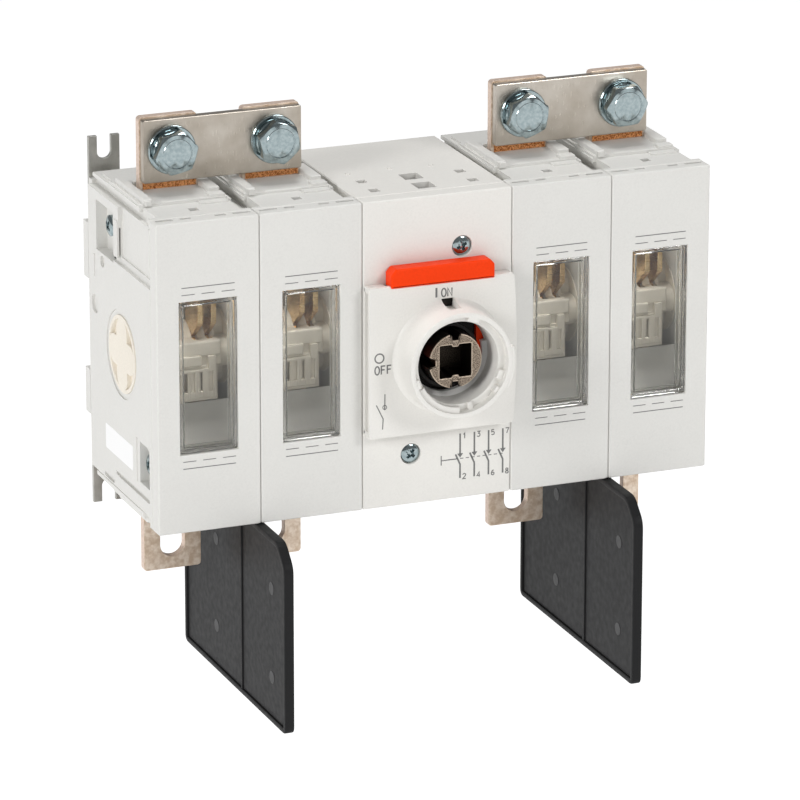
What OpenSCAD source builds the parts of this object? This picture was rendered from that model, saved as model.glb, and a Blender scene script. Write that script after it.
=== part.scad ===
// Four-pole load-break switch with visible contacts, jumper bars and phase barriers.
// Frame: +Z up, +X right, the front faces -Y. The origin is the middle of the mounting plane.
// Millimetres throughout.

/* [Body] */
// Distance between the centres of two neighbouring poles
pole_pitch = 46; // [42:0.5:56]
// Width of the mechanism module between the two pairs of poles
mech_w = 68; // [60:0.5:82]
// Height of the body without its terminals
body_h = 136; // [126:1:165]
// Depth of the body from its back to its front face
body_d = 87; // [82:0.5:105]
// Gap that the feet leave between the body and the mounting plane
stand_off = 6; // [5:0.5:8]
// Depth of the front covers
cover_t = 8; // [7:0.5:10]
// Wall thickness of the moulded housings
wall = 2.5; // [2:0.1:3.2]
// Gap between two neighbouring modules
seam = 0.2; // [0.1:0.05:0.4]
// Bevel along the outer edges of the modules
edge_bevel = 0.5; // [0.3:0.1:0.8]

/* [Window] */
// Width of the inspection opening
window_w = 26; // [20:0.5:32]
// Height of the inspection opening
window_h = 67; // [54:1:82]
// Wall thickness of the clear tray
tray_wall = 1.2; // [1:0.1:1.6]

/* [Contacts] */
// Depth of the contact shaft behind the front face
shaft_depth = 45; // [41:0.5:48]
// Height of the contact shaft and the drive above the middle of the body
axis_z = -1; // [-3:0.5:3]
// Side of the square steel contact shaft
shaft_side = 8; // [6.5:0.5:9]
// Diameter of the rotor bore in the side walls of the poles
rotor_bore_d = 34; // [32:0.5:38]
// Radial running clearance of the rotors and of the drive
running_gap = 0.1; // [0.05:0.01:0.1]
// Thickness of the fixed contact knives
knife_t = 3; // [2.5:0.1:3.6]
// Thickness of the moving contact blades
blade_t = 2.4; // [2:0.1:3]
// Distance of a pair of blades from the middle of the pole
blade_off = 9; // [8.5:0.1:10]
// Gap between a blade and the knife that it wipes
blade_gap = 0.3; // [0.25:0.05:0.4]
// Length of a blade from the shaft axis to its tip
blade_reach = 31; // [28:0.5:34]
// Angle of the open blades above the horizontal
open_angle = 60; // [50:1:65]

/* [Terminals] */
// Width of a terminal bar
term_w = 26; // [22:0.5:30]
// Thickness of a terminal bar
term_t = 4; // [3:0.25:6]
// Depth of the terminal's front face behind the front face of the body
term_depth = 48; // [46:0.5:52]
// How far a terminal stands out of the body
term_reach = 33; // [31:0.5:40]
// Width of the slot for the terminal bolt
slot_w = 11; // [9:0.5:12]
// Straight length of the slot between the centres of its round ends
slot_run = 6; // [4:0.5:8]
// Distance from the outer end of the slot to the end of the terminal
slot_edge = 5.6; // [5:0.2:8]
// Nominal diameter of the terminal bolts
bolt_d = 10; // [8:0.5:10]
// Height of the jumper bars
jumper_h = 27.4; // [22:0.2:30]
// Thickness of the jumper bars
jumper_t = 4; // [3:0.25:6]

/* [Drive] */
// Sideways offset of the drive from the middle of the mechanism
drive_x = 2; // [0:0.5:4]
// Number of teeth on the drive gear
drive_teeth = 10; // [10:1:10]
// Number of teeth on the output gear
output_teeth = 20; // [20:1:20]
// Distance from the crossing of the axes to the outer end of the teeth
cone_reach = 26.83; // [25:0.1:28]
// Length of the teeth along the cone
tooth_len = 6; // [5:0.5:7]
// Diameter of the metal shaft coupler
coupler_d = 24; // [22:0.5:26]
// Side of the square socket for the handle shaft
socket_side = 14.4; // [12:0.2:15]
// Depth of the square socket
socket_deep = 14; // [10:0.5:16]
// Travel of the shaft lock
lock_travel = 5; // [4:0.5:6]

/* [Bezel] */
// Height of the bezel plate
bezel_h = 66.6; // [60:0.2:72]
// Thickness of the bezel plate
bezel_t = 7; // [6.5:0.1:9]
// Height of the round boss in front of the bezel plate
boss_h = 16; // [12:0.5:18]
// Outer diameter of the boss at its rim
boss_d = 46.4; // [44:0.2:50]
// Wall thickness of the boss
boss_wall = 3.2; // [2.6:0.1:4]

/* [Barriers and mounting] */
// Height of a phase barrier below the body
barrier_h = 84; // [60:1:110]
// How far a phase barrier stands out in front of the body
barrier_out = 33; // [20:1:45]
// Web thickness of a phase barrier
barrier_t = 3; // [2.4:0.1:3.4]
// Width of the mounting forks
fork_w = 14; // [12:0.5:16]
// Width of the slot in a mounting fork
fork_slot = 6.3; // [5.3:0.1:7]
// Thickness of the mounting forks
fork_t = 2; // [1.5:0.1:2.5]
// How far the slot's round end lies outside the body
fork_out = 7.2; // [6:0.2:10]

/* [Hidden] */
$fn = 48;
eps = 0.01;
POLES = [1, 2, 3, 4];

// Levels along Y
back_y = -stand_off;
face_y = -(stand_off + body_d);
split_y = face_y + cover_t;
shaft_y = face_y + shaft_depth;
term_y = face_y + term_depth;
term_back = term_y + term_t;
jumper_y = term_y - jumper_t;
bezel_y = face_y - bezel_t;
rim_y = bezel_y - boss_h;

// Widths
pole_half = (pole_pitch - seam) / 2;
mech_half = (mech_w - seam) / 2;
half_w = mech_w / 2 + 2 * pole_pitch;
pole_in = pole_half - wall;
mech_in = mech_half - wall;
top_z = body_h / 2;
roof = 3.2;

// Slots between the modules, which take the phase barriers
tee_half = 4.3;
tee_mouth = 2.5;
tee_deep = 5;
tee_lip = 1.8;
tee_front = 11;
tee_fill = tee_deep + wall;
joint_x = [-(mech_w / 2 + pole_pitch), mech_w / 2 + pole_pitch];

// Tie rods through all the modules, as [Y, Z]
tie_d = 5;
tie_pos = [[back_y - 22, top_z - 18], [face_y + 17, -top_z + 26]];
tie_head_d = 9;
tie_nut_d = 9.2;
tie_head_t = 4;
tie_recess = 5;

// Rotor, blades and knives, measured from the shaft axis
core_r = 13;
shoulder = 15;
rotor_side = pole_in - 0.3;
lobe_w = 13;
journal_r = rotor_bore_d / 2 - running_gap;
shaft_fit = 0.1;
sleeve_r = shaft_side * 0.71 + 1.3;
eye_r = 11;
neck = 9.2;
neck_half = 3.5;
head = blade_reach - 8.7;
head_half = 8.4;
tip_half = 3.4;
knife_w = 12;
knife_near = core_r + 4.2;
knife_root = 48;
bar_end = 40;

// Arc chutes
chute_front = shaft_y - 18.5;
chute_back = shaft_y - 3;
chute_low = 34;
plate_gap = 4;
plate_t = 1.5;
cheek_t = 1.6;
plates = max(2, floor((top_z - tee_fill - chute_low) / plate_gap) - 1);

// Terminal bolt
bolt_z = top_z + term_reach - slot_edge - slot_w / 2 - slot_run / 2;
washer_d = 2.1 * bolt_d;
washer_t = 2;
bolt_af = 1.7 * bolt_d;
head_t = 0.64 * bolt_d;
nut_t = 0.8 * bolt_d;
jumper_z = bolt_z - 0.3;
jumper_over = 12.5;

// Seat of a terminal inside its pole, and the screw that holds it
seat_z = top_z - 20;
seat_h = 14;
seat_w = 2 * blade_off - knife_t - 1;
seat_screw_d = 5;

// Drive
drum_r = 17.5;
drum_gap = 0.3;
spring_wire = 1.8;
spring_r = drum_r + 3;
spring_turns = 4;
spring_pitch = 2.3;
spring_steps = 20;
spring_sides = 8;
drive_cone = atan(drive_teeth / output_teeth);
drum_front = face_y + 7;
drum_back = face_y + 19;
drive_journal_r = 15;
coupler_front = rim_y + 7.5;
coupler_back = face_y - 1.2;
shank_d = 16;
shank_end = drum_back + 1;
coupler_pin_d = 4;
add = 1.2;
ded = 1.6;
post_r = 5;
screw_d = 4;
screw_head_d = 8.6;
screw_pos = [[11.2, top_z - 23.7], [-12, -top_z + 22.5]];

// Shaft lock
lock_y0 = bezel_y + 2.7;
lock_t = 3;
lock_gap = 13;
leg_w = 6;
bar_w = 47;
bar_h = 8.6;
bar_x = -0.5;
bezel_wall = 2.4;
bezel_z = axis_z - 0.2;
bar_z = bezel_z + bezel_h / 2 - 1;

// Forks
fork_x = half_w - 9.3;
fork_tip = 7.1;
fork_len = 34;
fork_pad_h = 16;
fork_foot_z = top_z + fork_out + fork_tip - fork_len;
fork_hole_z = fork_foot_z + fork_pad_h / 2;
fork_screw_d = 4;

housing_grey = [0.88, 0.88, 0.86];
mech_white = [0.91, 0.91, 0.89];
tin = [0.80, 0.77, 0.72];
zinc = [0.70, 0.75, 0.78];
cream = [0.80, 0.77, 0.70];
brass = [0.80, 0.66, 0.42];
steel = [0.62, 0.62, 0.62];
dark = [0.20, 0.20, 0.21];

// ---- Shared shapes -------------------------------------------------------

// Centre of pole n along X
function pole_x(n) =
    n < 3 ? -mech_w / 2 - pole_pitch * (2.5 - n) : mech_w / 2 + pole_pitch * (n - 2.5);

// Rectangle with cut corners
module cut_rect(w, h, c)
    polygon([[c, 0], [w - c, 0], [w, c], [w, h - c], [w - c, h], [c, h], [0, h - c], [0, c]]);

// Box between two corners, with its edges bevelled by c
module block(lo, hi, c = 0) {
    s = hi - lo;
    translate(lo)
        if (c > 0)
            intersection() {
                linear_extrude(s.z) cut_rect(s.x, s.y, c);
                translate([0, s.y, 0]) rotate([90, 0, 0]) linear_extrude(s.y) cut_rect(s.x, s.z, c);
                rotate([90, 0, 90]) linear_extrude(s.x) cut_rect(s.y, s.z, c);
            }
        else
            cube(s);
}

// Cylinder along X from x0 to x1
module rod_x(r, x0, x1) translate([x0, 0, 0]) rotate([0, 90, 0]) cylinder(r = r, h = x1 - x0);

// Cylinder along Y from y0 to y1
module rod_y(r, y0, y1) translate([0, y1, 0]) rotate([90, 0, 0]) cylinder(r = r, h = y1 - y0);

// Draws its children at the top, and again at the bottom as their mirror image
module both_ends() {
    children();
    mirror([0, 0, 1]) children();
}

// Slot with round ends in the XZ plane, cut along Y
module slot_y(w, z0, z1, y0, y1) {
    translate([0, 0, z0]) rod_y(w / 2, y0, y1);
    translate([0, 0, z1]) rod_y(w / 2, y0, y1);
    block([-w / 2, y0, z0], [w / 2, y1, z1]);
}

// ---- Poles ---------------------------------------------------------------

// Terminal platform, rail and clip on top of a pole
module pole_top() {
    side = pole_half - tee_half;
    front = split_y + 19;
    block([-side, front, top_z - eps], [side, back_y - 8, top_z + 1.2]);
    block([-side - 1.2, front, top_z - 1], [-side + 4.4, back_y - 20, top_z + 1.2]);
    block([-side, front, top_z], [-side + 4, back_y - 24, top_z + 3.4], 0.4);
    block([side - 5.5, term_y - 13, top_z], [side - 0.5, term_back + 4, top_z + 3.4], 0.4);
}

// Half of the barrier slot on the right of a pole; it opens to the back
module tee_half_cut() {
    x1 = pole_half + eps;
    y0 = face_y + tee_front;
    block([pole_half - tee_half, y0, top_z - tee_deep], [x1, back_y + eps, top_z - tee_lip]);
    block([pole_half - tee_mouth, y0, top_z - tee_lip - eps], [x1, back_y + eps, top_z + 5]);
    block([pole_half - tee_half, y0, top_z - tee_lip - eps], [x1, split_y + 19, top_z + 5]);
}

// Inner space of a pole, open at the front
module pole_cavity() {
    block([-pole_in, split_y - eps, -top_z + tee_fill], [pole_in, back_y - wall, top_z - tee_fill]);
    in = pole_half - tee_half - 2;
    block([-in, split_y - eps, -top_z + roof], [in, back_y - wall, top_z - roof]);
}

// Block that carries a terminal, on the back wall
module terminal_seat()
    block([-seat_w / 2, term_back, seat_z - seat_h / 2], [seat_w / 2, back_y - wall + eps, seat_z + seat_h / 2]);

// Housing of one pole: shell, terminal seats, bores for the rotor and the tie rods
module pole_housing(n) {
    outer = n == 1 ? -1 : n == 4 ? 1 : 0;
    color(housing_grey)
        translate([pole_x(n), 0, 0])
            difference() {
                union() {
                    difference() {
                        block([-pole_half, split_y, -top_z], [pole_half, back_y, top_z], edge_bevel);
                        pole_cavity();
                    }
                    both_ends() terminal_seat();
                    both_ends() pole_top();
                    if (outer != 0)
                        side_of(outer) {
                            outer_wall_pads(n);
                            pole_feet();
                        }
                }
                both_ends() {
                    tee_half_cut();
                    side_of(-1) tee_half_cut();
                    block([-term_w / 2 - 0.1, term_y - 0.1, top_z - roof - 1],
                        [term_w / 2 + 0.1, term_back + 0.1, top_z + 5]);
                    block([-2, face_y + 15, top_z - roof - 1], [2, face_y + 19, top_z + 5]);
                    translate([0, 0, seat_z]) rod_y(seat_screw_d / 2, term_back - 1, term_back + 10);
                }
                translate([0, shaft_y, axis_z]) rod_x(rotor_bore_d / 2, -pole_half - 1, pole_half + 1);
                for (p = tie_pos)
                    translate([0, p.x, p.y]) rod_x(tie_d / 2 + 0.2, -pole_half - 5, pole_half + 8);
                if (outer != 0)
                    side_of(outer) {
                        outer_wall_cuts(n);
                        both_ends()
                            translate([fork_x - pole_x(4), 0, fork_hole_z]) rod_y(fork_screw_d / 2 + 0.05, back_y - 2, 1);
                    }
            }
}

// Draws its children on the right, or as their mirror image on the left when s is -1
module side_of(s)
    if (s < 0) mirror([1, 0, 0]) children();
    else children();

// Pads behind the recesses of an outer wall, and the nut boss on the right-hand end
module outer_wall_pads(n) {
    x0 = pole_half - tie_recess - wall;
    rear = tie_pos[0];
    low = tie_pos[1];
    block([x0, rear.x - 13, rear.y - 15], [pole_in + eps, rear.x + 13, rear.y + 11.5]);
    if (n == 1)
        block([x0, split_y, low.y - 11.5], [pole_in + eps, low.x + 8.5, low.y + 11.5]);
    else
        translate([0, low.x, low.y]) rod_x(7.5, pole_half - 1, pole_half + 4);
}

// Recesses and grooves in an outer wall
module outer_wall_cuts(n) {
    x1 = pole_half + eps;
    x0 = pole_half - tie_recess;
    rear = tie_pos[0];
    low = tie_pos[1];
    block([x0, rear.x - 11, rear.y - 13], [x1, rear.x + 11, rear.y + 9]);
    if (n == 1)
        block([x0, low.x - 6, low.y - 9], [x1, low.x + 6, low.y + 9]);
    else
        translate([pole_half - 1, low.x, low.y]) rotate([0, 90, 0]) cylinder(d = tie_nut_d + 0.4, h = 6, $fn = 6);
    // groove of the raised panel: down behind the recess, then forward to the front cover
    block([pole_half - 1.4, rear.x - 22, top_z - 30], [x1, rear.x - 11 + eps, top_z - 14]);
    block([pole_half - 1.4, split_y - 1, top_z - 30], [x1, rear.x - 15, top_z - 25]);
    block([pole_half - 1, split_y - 1, top_z - 4.2], [x1, back_y - 38, top_z - 3.2]);
    block([pole_half - 1, face_y + 18, -top_z + 11], [x1, back_y - 33, -top_z + 12.4]);
    // shallow ring around the rotor bore, and a small round dimple
    translate([0, shaft_y, axis_z]) rod_x(rotor_bore_d / 2 + 2.4, pole_half - 0.6, x1);
    translate([0, back_y - 8, top_z - 56.3]) rod_x(4.2, pole_half - 1.2, x1);
}

// Feet and fork pads at the back of an outer pole
module pole_feet() {
    for (z = [[20.7, 45.7], [-40.3, -20.3]])
        block([pole_half - 3, back_y - eps, z[0]], [pole_half, 0, z[1]]);
    both_ends()
        block([fork_x - pole_x(4) - fork_w / 2, back_y - eps, fork_foot_z],
            [fork_x - pole_x(4) + fork_w / 2, -fork_t, fork_foot_z + fork_pad_h]);
}

// Front cover of one pole with its inspection opening and skirt slots
module pole_cover(n)
    color(housing_grey)
        translate([pole_x(n), 0, 0])
            difference() {
                block([-pole_half, face_y, -top_z], [pole_half, split_y, top_z], edge_bevel);
                block([-pole_in, face_y + wall, -top_z + wall], [pole_in, split_y + eps, top_z - wall]);
                block([-window_w / 2, face_y - 1, -window_h / 2], [window_w / 2, split_y, window_h / 2]);
                for (s = [-1, 1])
                    both_ends() {
                        slit(s * (pole_half - 5.8), 7.8);
                        slit(s * (pole_half - 15.2), 4.7);
                    }
            }

// Vent slit through the top of a cover
module slit(x, len)
    block([x - len / 2, face_y + 4.6, top_z - wall - 1], [x + len / 2, face_y + 6.6, top_z + 1]);

// Clear tray that closes the inspection opening
module window(n) {
    w = window_w / 2 - 0.15;
    h = window_h / 2 - 0.15;
    y0 = face_y + 0.8;
    color([0.8, 0.85, 0.88, 0.35])
        translate([pole_x(n), 0, 0])
            difference() {
                union() {
                    block([-w, y0, -h], [w, split_y + 1.5, h], 0.3);
                    block([-w - 2, face_y + wall + 0.1, -h - 2], [w + 2, face_y + wall + 1.5, h + 2]);
                }
                block([-w + tray_wall, y0 + tray_wall, -h + tray_wall],
                    [w - tray_wall, split_y + 2, h - tray_wall]);
            }
}

// Bar of a fixed contact with its bolt slot and its own fixing hole, at the top
module terminal_bar()
    difference() {
        block([-term_w / 2, term_y, bar_end], [term_w / 2, term_back, top_z + term_reach], 0.5);
        slot_y(slot_w, bolt_z - slot_run / 2, bolt_z + slot_run / 2, term_y - 1, term_back + 1);
        translate([0, 0, seat_z]) rod_y(seat_screw_d / 2 + 0.2, term_y - 1, term_back + 1);
    }

// Two knives from y0 to y1 and z0 to z1
module knives(y0, y1, z0, z1)
    for (s = [-1, 1])
        block([s * blade_off - knife_t / 2, y0, z0], [s * blade_off + knife_t / 2, y1, z1]);

// Upper fixed contact: its knives lie just behind the shaft
module line_terminal(n)
    color(tin)
        translate([pole_x(n), 0, 0]) {
            terminal_bar();
            knives(shaft_y - 2, shaft_y - 2 + knife_w, axis_z + knife_near, knife_root);
        }

// Lower fixed contact: its knives lie just in front of the shaft
module load_terminal(n)
    color(tin)
        translate([pole_x(n), 0, 0]) {
            mirror([0, 0, 1]) terminal_bar();
            knives(shaft_y + 1 - knife_w, shaft_y + 1, -knife_root, axis_z - knife_near);
            knives(shaft_y, term_back, -knife_root, -bar_end + 1);
        }

// One half of a blade's outline: A runs along the blade, B across it
function blade_side(s) = [
    [s * neck, s * neck_half], [s * head, s * head_half], [s * blade_reach, s * tip_half],
    [s * blade_reach, -s * tip_half], [s * head, -s * head_half], [s * neck, -s * neck_half]
];

// One blade between x0 and x1 at its open angle, with an eye around the shaft sleeve
module blade(x0, x1)
    translate([x0, 0, 0])
        rotate([-open_angle, 0, 0])
            difference() {
                union() {
                    rotate([90, 0, 90])
                        linear_extrude(x1 - x0)
                            polygon(concat(blade_side(1), blade_side(-1)));
                    rod_x(eye_r, 0, x1 - x0);
                }
                rod_x(sleeve_r, -1, x1 - x0 + 1);
            }

// Blade beside knife s, on its side t
module blade_at(s, t) {
    near = s * blade_off + t * (knife_t / 2 + blade_gap);
    far = near + t * blade_t;
    blade(min(near, far), max(near, far));
}

// The four blades of a pole, two to each knife
module moving_contacts(n)
    color(brass)
        translate([pole_x(n), shaft_y, axis_z])
            for (s = [-1, 1])
                for (t = [-1, 1])
                    blade_at(s, t);

// Clamp block and ribbed skirt on one side of the rotor
module rotor_block()
    difference() {
        union() {
            block([-shoulder, -19, -3], [shoulder, 0, 7.3], 0.4);
            block([-14, -20, -14], [13, -9, -2.5], 0.4);
            block([-14, -20, -18], [13, -12.5, -4], 0.4);
        }
        for (x = [-9, -1, 7])
            block([x - 1.7, -21, -16.5], [x + 1.7, -17, -5]);
        block([-15, -21, -7], [-2, -14, -3.01]);
    }

// Cross with round lobes, between x0 and x1
module lobes(x0, x1) {
    reach = journal_r - 0.8 - lobe_w / 2;
    for (a = [0, 90])
        rotate([a, 0, 0]) {
            block([x0, -reach, -lobe_w / 2], [x1, reach, lobe_w / 2]);
            for (s = [-1, 1])
                translate([0, s * reach, 0]) rod_x(lobe_w / 2, x0, x1);
        }
}

// Moulded contact carrier: core, clamp blocks, end crosses and journals
module rotor(n) {
    far = pole_half - 0.05;
    color(cream)
        translate([pole_x(n), shaft_y, axis_z])
            difference() {
                union() {
                    rod_x(core_r, -shoulder, shoulder);
                    rotor_block();
                    rotate([180, 0, 0]) rotor_block();
                    for (s = [-1, 1])
                        side_of(s) {
                            lobes(shoulder - 0.1, rotor_side + 0.1);
                            rod_x(journal_r, rotor_side, far);
                        }
                }
                for (s = [-1, 1])
                    for (t = [-1, 1])
                        rotor_slot(s, t);
                for (s = [-1, 1])
                    side_of(s)
                        difference() {
                            rod_x(journal_r - 1.6, far - 2, far + 1);
                            lobes(far - 3, far + 2);
                        }
                shaft_hole(n == 1 ? -far + 2 : -far - 1, n == 4 ? far - 2 : far + 1);
            }
}

// Slot in the rotor for one blade
module rotor_slot(s, t) {
    near = s * blade_off + t * (knife_t / 2 + blade_gap);
    far = near + t * blade_t;
    x0 = min(near, far) - 0.05;
    x1 = max(near, far) + 0.05;
    difference() {
        rotate([-open_angle, 0, 0]) {
            rod_x(eye_r + 0.1, x0, x1);
            block([x0, -blade_reach, -head_half - 0.2], [x1, blade_reach, head_half + 0.2]);
        }
        rod_x(sleeve_r - 0.05, x0 - 1, x1 + 1);
    }
}

// Square hole for the contact shaft
module shaft_hole(x0, x1) {
    h = shaft_side / 2 + shaft_fit;
    block([x0, -h, -h], [x1, h, h]);
}

module contact_shaft()
    color(steel)
        translate([0, shaft_y, axis_z])
            block([-half_w + 4, -shaft_side / 2, -shaft_side / 2], [half_w - 4, shaft_side / 2, shaft_side / 2], 0.4);

// Steel splitter plates between two cheeks, above and below the rotor
module arc_chute() {
    w = pole_in - 0.2;
    top = chute_low + plates * plate_gap + plate_t + 1;
    for (s = [-1, 1])
        side_of(s) block([w - cheek_t, chute_front, chute_low], [w, chute_back, top]);
    for (k = [0 : plates])
        difference() {
            block([-w + cheek_t - eps, chute_front, chute_low + 1 + k * plate_gap],
                [w - cheek_t + eps, chute_back, chute_low + 1 + k * plate_gap + plate_t]);
            block([-blade_off - 3.5, shaft_y + 1 - knife_w - 1.5, 0], [blade_off + 3.5, chute_back + 1, top + 9]);
        }
}

module arc_chutes(n) color(steel) translate([pole_x(n), 0, 0]) both_ends() arc_chute();

// ---- Mechanism -------------------------------------------------------------

// Straight bevel gear: local Z points at the crossing of the axes, which is the origin
module bevel_gear(teeth, cone, hub_r, web, hub_end, half_step = false) {
    in = cone_reach - tooth_len;
    ro = cone_reach * sin(cone) - ded * cos(cone);
    zo = -cone_reach * cos(cone) - ded * sin(cone);
    ri = in * sin(cone) - ded * cos(cone);
    zi = -in * cos(cone) - ded * sin(cone);
    rotate_extrude($fn = 96)
        polygon([[0, zi], [ri, zi], [ro, zo], [ro, zo - web], [hub_r, zo - web], [hub_r, hub_end], [0, hub_end]]);
    for (k = [0 : teeth - 1])
        rotate([0, 0, (k + (half_step ? 0.5 : 0)) * 360 / teeth])
            translate([in * sin(cone), 0, -in * cos(cone)])
                rotate([0, 90 - cone, 0])
                    rotate([90, 0, 90])
                        linear_extrude(tooth_len)
                            polygon([[-1.75, -ded - 0.4], [1.75, -ded - 0.4], [0.75, add], [-0.75, add]]);
}

// Output gear, keyed on the contact shaft
module output_gear()
    color(steel)
        translate([drive_x, shaft_y, axis_z])
            difference() {
                rotate([0, 90, 0]) bevel_gear(output_teeth, 90 - drive_cone, 11, 5, -28);
                shaft_hole(-40, 0);
            }

// Drive gear: pinion, drum and front journal, bored for the coupler
module drive_gear()
    color(dark)
        difference() {
            union() {
                translate([drive_x, shaft_y, axis_z])
                    rotate([-90, 0, 0]) bevel_gear(drive_teeth, drive_cone, 9, 0.5, drum_back - shaft_y - 0.5, true);
                translate([drive_x, 0, axis_z]) {
                    rod_y(drum_r, drum_front, drum_back);
                    rod_y(drive_journal_r - running_gap, face_y + 0.3, drum_front + 1);
                }
            }
            translate([drive_x, 0, axis_z]) rod_y(shank_d / 2 + 0.05, face_y - 1, shank_end + 0.1);
            coupler_pin_bore(coupler_pin_d / 2 + 0.05, drum_r + 1);
        }

// Cross hole for the pin that locks the coupler in the drive gear
module coupler_pin_bore(r, reach)
    translate([drive_x, (drum_front + drum_back) / 2, axis_z]) rod_x(r, -reach, reach);

// Metal coupler with its square socket and keyways
module shaft_coupler()
    color(brass)
        difference() {
            translate([drive_x, 0, axis_z]) {
                rod_y(coupler_d / 2, coupler_front, coupler_back);
                rod_y(shank_d / 2, coupler_back - 1, shank_end);
            }
            translate([drive_x, 0, axis_z]) {
                s = socket_side / 2;
                block([-s, coupler_front - 1, -s], [s, coupler_front + socket_deep, s]);
                // keyways at the top, bottom and left of the mouth
                block([-1.8, coupler_front - 1, 0], [1.8, coupler_front + 5, coupler_d]);
                block([-1.8, coupler_front - 1, -coupler_d], [1.8, coupler_front + 5, 0]);
                block([-coupler_d, coupler_front - 1, -1.8], [-coupler_d / 2 + 2.2, coupler_front + 5, 1.8]);
            }
            coupler_pin_bore(coupler_pin_d / 2 + 0.05, drum_r);
        }

module coupler_pin() color(steel) coupler_pin_bore(coupler_pin_d / 2, drum_r - 0.5);

// Return spring coiled round the drum: a round wire swept along a helix
function spring_point(a, b) =
    let (r = spring_r + spring_wire / 2 * cos(b))
    [r * cos(a), spring_wire / 2 * sin(b) + spring_pitch * a / 360, r * sin(a)];

module torsion_spring() {
    rings = spring_turns * spring_steps;
    n = spring_sides;
    points = [for (i = [0 : rings], j = [0 : n - 1]) spring_point(i * 360 / spring_steps, j * 360 / n)];
    walls = [for (i = [0 : rings - 1], j = [0 : n - 1])
        [i * n + j, i * n + (j + 1) % n, (i + 1) * n + (j + 1) % n, (i + 1) * n + j]];
    caps = [[for (j = [n - 1 : -1 : 0]) j], [for (j = [0 : n - 1]) rings * n + j]];
    color(steel)
        translate([drive_x, drum_front - drum_gap + spring_wire / 2 + 0.1, axis_z])
            polyhedron(points = points, faces = concat(walls, caps), convexity = 6);
}

// Rear shell of the mechanism with the mounting pad, screw ribs and shaft openings
module mechanism_housing()
    color(mech_white)
        difference() {
            union() {
                difference() {
                    block([-mech_half, split_y, -top_z], [mech_half, back_y, top_z], edge_bevel);
                    block([-mech_in, split_y - eps, -top_z + roof], [mech_in, back_y - wall, top_z - roof]);
                }
                block([-18, back_y - eps, -22], [18, 0, 22], 0.5);
                for (p = screw_pos)
                    block([p.x - post_r, split_y, p.y > 0 ? p.y - post_r : -top_z + wall],
                        [p.x + post_r, split_y + 15, p.y > 0 ? top_z - wall : p.y + post_r]);
            }
            translate([0, shaft_y, axis_z]) rod_x(shaft_side * 0.71 + 0.9, -mech_half - 1, mech_half + 1);
            for (p = tie_pos)
                translate([0, p.x, p.y]) rod_x(tie_d / 2 + 0.2, -mech_half - 1, mech_half + 1);
            for (p = screw_pos)
                translate([p.x, 0, p.y]) rod_y(screw_d / 2 + 0.05, split_y - 1, split_y + 6.5);
            both_ends() mechanism_vents();
        }

// Openings in the roof of the mechanism
module mechanism_vents()
    for (y = [back_y - 56.5, back_y - 71]) {
        block([-4.2, y - 4.5, top_z - roof - 1], [4.2, y + 4.5, top_z + 1]);
        for (s = [-1, 1])
            side_of(s) block([20.4, y - 2.2, top_z - roof - 1], [24.6, y + 2.2, top_z + 1]);
    }

// Front cover of the mechanism with the bearing of the drive gear
module mechanism_cover()
    color(mech_white)
        difference() {
            union() {
                difference() {
                    block([-mech_half, face_y, -top_z], [mech_half, split_y, top_z], edge_bevel);
                    block([-mech_in, face_y + 3, -top_z + wall], [mech_in, split_y + eps, top_z - wall]);
                }
                translate([drive_x, 0, axis_z]) rod_y(spring_r + 1.5, face_y + 1, drum_front - drum_gap);
                for (p = screw_pos)
                    translate([p.x, 0, p.y]) rod_y(post_r, face_y + 1, split_y);
            }
            translate([drive_x, 0, axis_z]) rod_y(drive_journal_r, face_y - 1, split_y + 1);
            for (p = screw_pos)
                translate([p.x, 0, p.y]) {
                    rod_y(screw_d / 2 + 0.2, face_y - 1, split_y + 1);
                    rod_y(screw_head_d / 2 + 0.3, face_y - 1, face_y + 3);
                }
        }

// Bezel: hollow plate with the round boss for the handle
module handle_bezel() {
    w = mech_half - 0.2;
    inner = boss_d / 2 - boss_wall;
    color(mech_white)
        difference() {
            union() {
                difference() {
                    block([-w, bezel_y, bezel_z - bezel_h / 2], [w, face_y, bezel_z + bezel_h / 2], 0.8);
                    block([-w + bezel_wall, bezel_y + bezel_wall, bezel_z - bezel_h / 2 + bezel_wall],
                        [w - bezel_wall, face_y + 1, bezel_z + bezel_h / 2 - bezel_wall]);
                }
                translate([drive_x, 0, axis_z]) {
                    rod_y(boss_d / 2, rim_y, bezel_y + bezel_wall);
                    translate([0, bezel_y + 1, 0]) rotate([90, 0, 0])
                        cylinder(r1 = boss_d / 2 + 2.6, r2 = boss_d / 2, h = 4);
                }
            }
            translate([drive_x, 0, axis_z]) {
                rod_y(inner, rim_y + 2.5, face_y + 1);
                rod_y(inner - 1.6, rim_y - 1, rim_y + 3);
                for (a = [35, 125, 250, 320])
                    rotate([0, a, 0]) block([0, rim_y - 1, -5], [inner, rim_y + 3, 5]);
                // pointer notch above the boss
                block([-2.6, bezel_y - 4, inner - 1], [2.6, face_y + 1, inner + 5]);
            }
            block([bar_x - bar_w / 2 - 0.3, bezel_y - 1, bar_z - 0.3],
                [bar_x + bar_w / 2 + 0.3, face_y + 1, bar_z + bar_h]);
            for (s = [-1, 1])
                translate([drive_x, 0, 0])
                    side_of(s)
                        block([lock_gap - 0.3, lock_y0 - 0.3, bar_z - 6],
                            [lock_gap + leg_w + 0.3, face_y + 1, bar_z + bar_h]);
        }
}

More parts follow.
